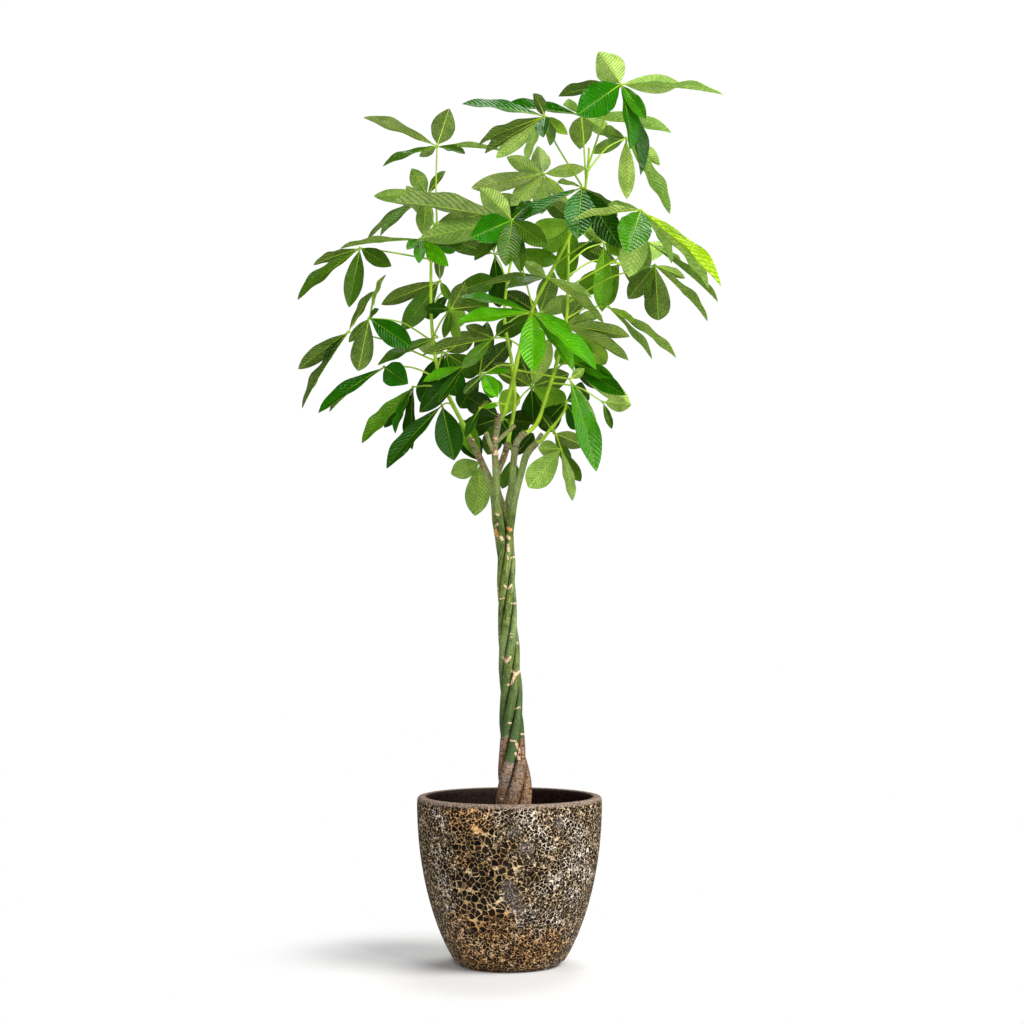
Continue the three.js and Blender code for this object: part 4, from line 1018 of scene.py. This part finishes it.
def glazeMaterial():
    material, shader, add, feed, calc, ramp, blendColours = newMaterial("craterGlaze")
    place = add("TexCoord").outputs["Object"]
    bloom, cells, warm, slate, shadedInside = [add("Attribute", attribute_name=zone).outputs["Fac"]
                                        for zone in [*glazeZones, "innerWallShade"]]
    wobble = add("TexNoise", {"Vector": place, "Scale": 70.0, "Detail": 3.0}).outputs["Color"]
    shift = add("VectorMath", {0: wobble}, operation="SCALE")
    shift.inputs["Scale"].default_value = 0.007
    bent = add("VectorMath", {0: place, 1: shift.outputs[0]}, operation="ADD").outputs[0]
    clouds = grain(add, place, 26.0, 6.0, 0.65)
    rough = grain(add, bent, 110.0, 5.0, 0.7)
    grit = grain(add, place, 300.0, 6.0, 0.7)

    def foam(scale, wall, filled):  # burst bubbles: how hollow a place is, and a value of each bubble's own
        edge = add("TexVoronoi", {"Vector": bent, "Scale": scale}, feature="DISTANCE_TO_EDGE")
        bubble = add("TexVoronoi", {"Vector": bent, "Scale": scale})
        own = add("SeparateColor", {"Color": bubble.outputs["Color"]}).outputs
        disc = ramp(bubble.outputs["Distance"], 0.78, 0.62)
        hollow = calc("MULTIPLY", calc("MULTIPLY", ramp(edge.outputs["Distance"], wall * 0.4, wall), disc),
                      ramp(own["Red"], filled - 0.05, filled + 0.05))
        return hollow, own["Green"]

    large, largeOwn = foam(82.0, 0.06, 0.0)
    middle = foam(136.0, 0.12, 0.12)[0]
    small, smallOwn = foam(235.0, 0.17, 0.30)

    # large bubbles where the glaze ran thick, elsewhere middle and small ones in a paler crust
    share = ramp(calc("ADD", cells, calc("MULTIPLY", calc("SUBTRACT", clouds, 0.5), 1.3)), 0.30, 0.40)
    fine = calc("MAXIMUM", calc("MULTIPLY", middle, ramp(rough, 0.36, 0.44)), calc("MULTIPLY", small, 0.9))
    hollow = calc("MULTIPLY", either(add, share, fine, large),
                  calc("SUBTRACT", 1.0, calc("MULTIPLY", slate, 0.3)))

    crust = blendColours(ramp(rough, 0.37, 0.60), (0.060, 0.036, 0.019), (0.43, 0.32, 0.20))
    crust = blendColours(ramp(grit, 0.51, 0.62, 0.0, 0.95), crust, (0.94, 0.80, 0.60))
    crust = blendColours(ramp(grit, 0.49, 0.40, 0.0, 0.85), crust, (0.004, 0.0025, 0.001))
    net = blendColours(ramp(clouds, 0.40, 0.62), (0.34, 0.21, 0.085), (0.76, 0.60, 0.38))
    net = blendColours(ramp(grit, 0.50, 0.42, 0.0, 0.8), net, (0.03, 0.018, 0.009))
    crust = blendColours(calc("MULTIPLY", share, 0.85), crust, net)
    pale = blendColours(ramp(grit, 0.40, 0.56), (0.20, 0.155, 0.12), (0.90, 0.84, 0.77))
    crust = blendColours(calc("MULTIPLY", bloom, ramp(rough, 0.38, 0.50)), crust, pale)
    stone = blendColours(ramp(grit, 0.44, 0.60), (0.016, 0.014, 0.016), (0.40, 0.37, 0.39))
    crust = blendColours(calc("MULTIPLY", slate, ramp(rough, 0.36, 0.52, 0.45, 0.9)), crust, stone)
    pit = blendColours(either(add, share, smallOwn, largeOwn), (0.0005, 0.0005, 0.0003),
                       (0.020, 0.012, 0.006))
    pit = blendColours(ramp(grit, 0.58, 0.74, 0.0, 0.35), pit, (0.09, 0.06, 0.034))
    base = blendColours(hollow, crust, pit)
    tanned = blendColours(1.0, base, (1.18, 0.92, 0.45), "MULTIPLY")
    base = blendColours(0.22, base, tanned)
    rusty = blendColours(1.0, base, (1.18, 0.78, 0.36), "MULTIPLY")
    base = blendColours(calc("MULTIPLY", warm, 0.6), base, rusty)

    # plain lip, and painted shade: the wall inside the planter is coloured near black, heights in metres
    height = add("SeparateXYZ", {"Vector": place}).outputs["Z"]
    rim = ramp(calc("ADD", height, calc("MULTIPLY", grit, 0.008)), 0.3275, 0.3320)
    lip = blendColours(ramp(grit, 0.38, 0.64), (0.065, 0.042, 0.030), (0.36, 0.27, 0.21))
    base = blendColours(rim, base, lip)
    # painted shade: near black colour inside the planter
    wall = blendColours(ramp(grit, 0.4, 0.7), (0.003, 0.0015, 0.001), (0.036, 0.017, 0.011))
    base = blendColours(shadedInside, base, wall)
    coat(feed, shader, base, ramp(hollow, 0.0, 1.0, 0.80, 0.5), 0.08)
    plain = calc("SUBTRACT", 1.0, calc("MAXIMUM", rim, shadedInside))
    relief = calc("ADD", calc("MULTIPLY", calc("SUBTRACT", 1.0, hollow), plain), calc("MULTIPLY", grit, 0.5))
    emboss(add, feed, shader, relief, 0.9, 0.0025)
    return material


pot = makePot(glazeMaterial())


# potting soil: an uneven top, closed below, with crumbs and bits of bark
soilBed = {
    "top": 293, "clearance": 0.8, "depth": 34, "taper": 0.97, "cells": 100, "sink": 3,
    "lumps": [(4.0, 0.03), (2.2, 0.11), (1.3, 0.37)],  # height and pace of each unevenness
    "crumbs": 420, "crumbSpread": 0.96, "crumbSink": 2.6, "crumbSize": (1.6, 4.6),
    "crumbStretch": [(0.7, 1.9), (0.6, 1.1), (0.4, 0.8)], "crumbRough": (0.85, 1.15),
}


def soilLumps(spot, count):
    return sum(height * noise.noise(spot * pace) for height, pace in soilBed["lumps"][:count])


def makeSoilBed(reach):
    bpy.ops.object.select_all(action="DESELECT")
    bpy.ops.mesh.primitive_grid_add(x_subdivisions=soilBed["cells"], y_subdivisions=soilBed["cells"], size=2)
    bed = bpy.context.object
    for vertex in bed.data.vertices:
        x, y = vertex.co.x, vertex.co.y  # the square grid becomes a round one
        spot = Vector((x * math.sqrt(1 - y * y / 2) * reach, y * math.sqrt(1 - x * x / 2) * reach, 0))
        vertex.co = Vector((spot.x, spot.y, soilBed["top"] - soilBed["sink"] + soilLumps(spot, 3))) * mm
    openMesh()
    bpy.ops.mesh.region_to_loop()
    bpy.ops.mesh.extrude_edges_move(TRANSFORM_OT_translate={"value": (0, 0, -soilBed["depth"] * mm)})
    bottom = (soilBed["top"] - soilBed["depth"]) * mm
    bpy.ops.transform.resize(value=(soilBed["taper"], soilBed["taper"], 0), center_override=(0, 0, bottom))
    bpy.ops.mesh.edge_face_add()
    closeMesh()
    return bed


def scatterCrumbs(reach):
    chance = random.Random("soil")
    bpy.ops.object.select_all(action="DESELECT")
    bpy.ops.mesh.primitive_ico_sphere_add(subdivisions=1, radius=1)
    crumb = bpy.context.object
    crumbs = []
    for i in range(soilBed["crumbs"]):
        far = reach * soilBed["crumbSpread"] * math.sqrt(chance.random())
        turn = chance.uniform(0, 2 * math.pi)
        bit = crumb.copy()
        bit.data = crumb.data.copy()
        bpy.context.scene.collection.objects.link(bit)
        size = chance.uniform(*soilBed["crumbSize"])
        stretch = Vector([chance.uniform(*limits) for limits in soilBed["crumbStretch"]]) * size
        spin = chance.uniform(0, 2 * math.pi)
        at = Vector((far * math.cos(turn), far * math.sin(turn), 0))
        at.z = soilBed["top"] - soilBed["crumbSink"] + soilLumps(at, 2)
        for vertex in bit.data.vertices:
            spot = Vector(a * b for a, b in zip(vertex.co, stretch)) * chance.uniform(*soilBed["crumbRough"])
            turned = Vector((spot.x * math.cos(spin) - spot.y * math.sin(spin),
                             spot.x * math.sin(spin) + spot.y * math.cos(spin), spot.z))
            vertex.co = (at + turned) * mm
        crumbs.append(bit)
    bpy.data.objects.remove(crumb)
    return crumbs


def makeSoil(material):
    reach = outerRadius(soilBed["top"]) - planter["wall"] - soilBed["clearance"]
    soil = joinAll([makeSoilBed(reach)] + scatterCrumbs(reach), "PottingSoil")
    setMaterials(soil, material)
    smoothShade(soil, 35)
    print("soil", len(soil.data.polygons), "faces")
    return soil


def soilMaterial():
    material, shader, add, feed, calc, ramp, blendColours = newMaterial("pottingSoil")
    place = add("TexCoord").outputs["Object"]
    lumps = grain(add, place, 90.0, 6.0)
    grains = add("TexVoronoi", {"Vector": place, "Scale": 330.0}).outputs["Color"]
    bits = add("SeparateXYZ", {"Vector": grains})
    base = blendColours(ramp(lumps, 0.35, 0.65), (0.018, 0.011, 0.007), (0.070, 0.044, 0.028))
    base = blendColours(ramp(bits.outputs["X"], 0.86, 0.95, 0.0, 0.8), base, (0.20, 0.13, 0.08))
    coat(feed, shader, base, 0.92, 0.2)
    height = calc("ADD", lumps, calc("MULTIPLY", bits.outputs["Y"], 0.5))
    emboss(add, feed, shader, height, 0.8, 0.002)
    return material


soil = makeSoil(soilMaterial())


# each piece stands for its node and rides on the one body
stands = [(pot, "pot", "glaze"), (soil, "soil", "soil")]
stands += [(piece, name, "bark") for name, piece in stems.items()]
stands += [(piece, name, "leaf") for name, piece in foliage.items()]
for piece, node, slot in stands:
    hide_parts(node)
    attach(piece, "root")
print("pieces placed:", len(stands))

# floor, light and surroundings
studio = {
    "floorSize": 60, "worldLight": 0.20, "glossLight": 0.08, "floorFade": (0.28, 0.58), "floorGlow": 1.0,
    "floorBounce": 1.22, "floorGloss": 0.08, "backdrop": 1.02, "aim": (0, 0, 0.9),
    "lamps": [  # name, place, size, watts, colour
        ("keyLamp", (4.4, -2.4, 4.2), 4.4, 560, (1.0, 0.985, 0.96)),
        ("topLamp", (0.6, 2.6, 5.9), 3.2, 210, (1.0, 1.0, 1.0)),
        ("fillLamp", (-1.2, -6.0, 1.9), 3.0, 150, (0.98, 0.99, 1.0)),
        ("glintLamp", (1.7, -3.4, 4.0), 0.3, 45, (1.0, 1.0, 1.0)),
        ("glintLampLeft", (-1.6, -2.8, 4.4), 0.3, 35, (1.0, 1.0, 1.0)),
    ],
}


def floorMaterial():
    material, shader, add, feed, calc, ramp, blendColours = newMaterial("studioFloor")
    place = add("TexCoord").outputs["Object"]
    tone = grain(add, place, 3.0)
    coat(feed, shader, blendColours(tone, (0.685, 0.685, 0.685), (0.705, 0.705, 0.705)), 0.8, 0.1)
    away = add("VectorMath", {0: place}, operation="LENGTH").outputs["Value"]
    path = add("LightPath").outputs
    bounce = calc("MULTIPLY_ADD", path["Is Camera Ray"], studio["floorGlow"] - studio["floorBounce"],
                  studio["floorBounce"])
    bounce = calc("MULTIPLY_ADD", path["Is Glossy Ray"], studio["floorGloss"] - studio["floorBounce"], bounce)
    glow = add("Emission", {"Color": (1, 1, 1, 1), "Strength": bounce})
    layOver(material, shader, add, feed, glow, ramp(away, *studio["floorFade"]))
    return material


bpy.ops.object.select_all(action="DESELECT")
bpy.ops.mesh.primitive_plane_add(size=studio["floorSize"])
floor = bpy.context.object
floor.name = "studioFloor"
floor.data.materials.append(floorMaterial())

for name, place, size, watts, colour in studio["lamps"]:
    bpy.ops.object.light_add(type="AREA", location=place)
    lamp = bpy.context.object
    lamp.name = name
    lamp.data.shape = "DISK"
    lamp.data.size = size
    lamp.data.energy = watts
    lamp.data.color = colour
    lamp.rotation_euler = (Vector(studio["aim"]) - Vector(place)).to_track_quat("-Z", "Y").to_euler()

world = bpy.data.worlds.new("studioWorld")
bpy.context.scene.world = world
world.use_nodes = True
sky = world.node_tree
path = sky.nodes.new("ShaderNodeLightPath")
ground = sky.nodes["Background"]
ground.inputs["Color"].default_value = (1, 1, 1, 1)
ground.inputs["Strength"].default_value = studio["worldLight"]
for ray, strength in (("Is Glossy Ray", studio["glossLight"]), ("Is Camera Ray", studio["backdrop"])):
    layer = sky.nodes.new("ShaderNodeBackground")
    layer.inputs["Strength"].default_value = strength
    chooser = sky.nodes.new("ShaderNodeMixShader")
    sky.links.new(path.outputs[ray], chooser.inputs[0])
    sky.links.new(ground.outputs[0], chooser.inputs[1])
    sky.links.new(layer.outputs[0], chooser.inputs[2])
    layer.inputs["Color"].default_value = (1, 1, 1, 1)
    ground = chooser
sky.links.new(ground.outputs[0], sky.nodes["World Output"].inputs["Surface"])
bpy.context.scene.view_settings.view_transform = "Standard"
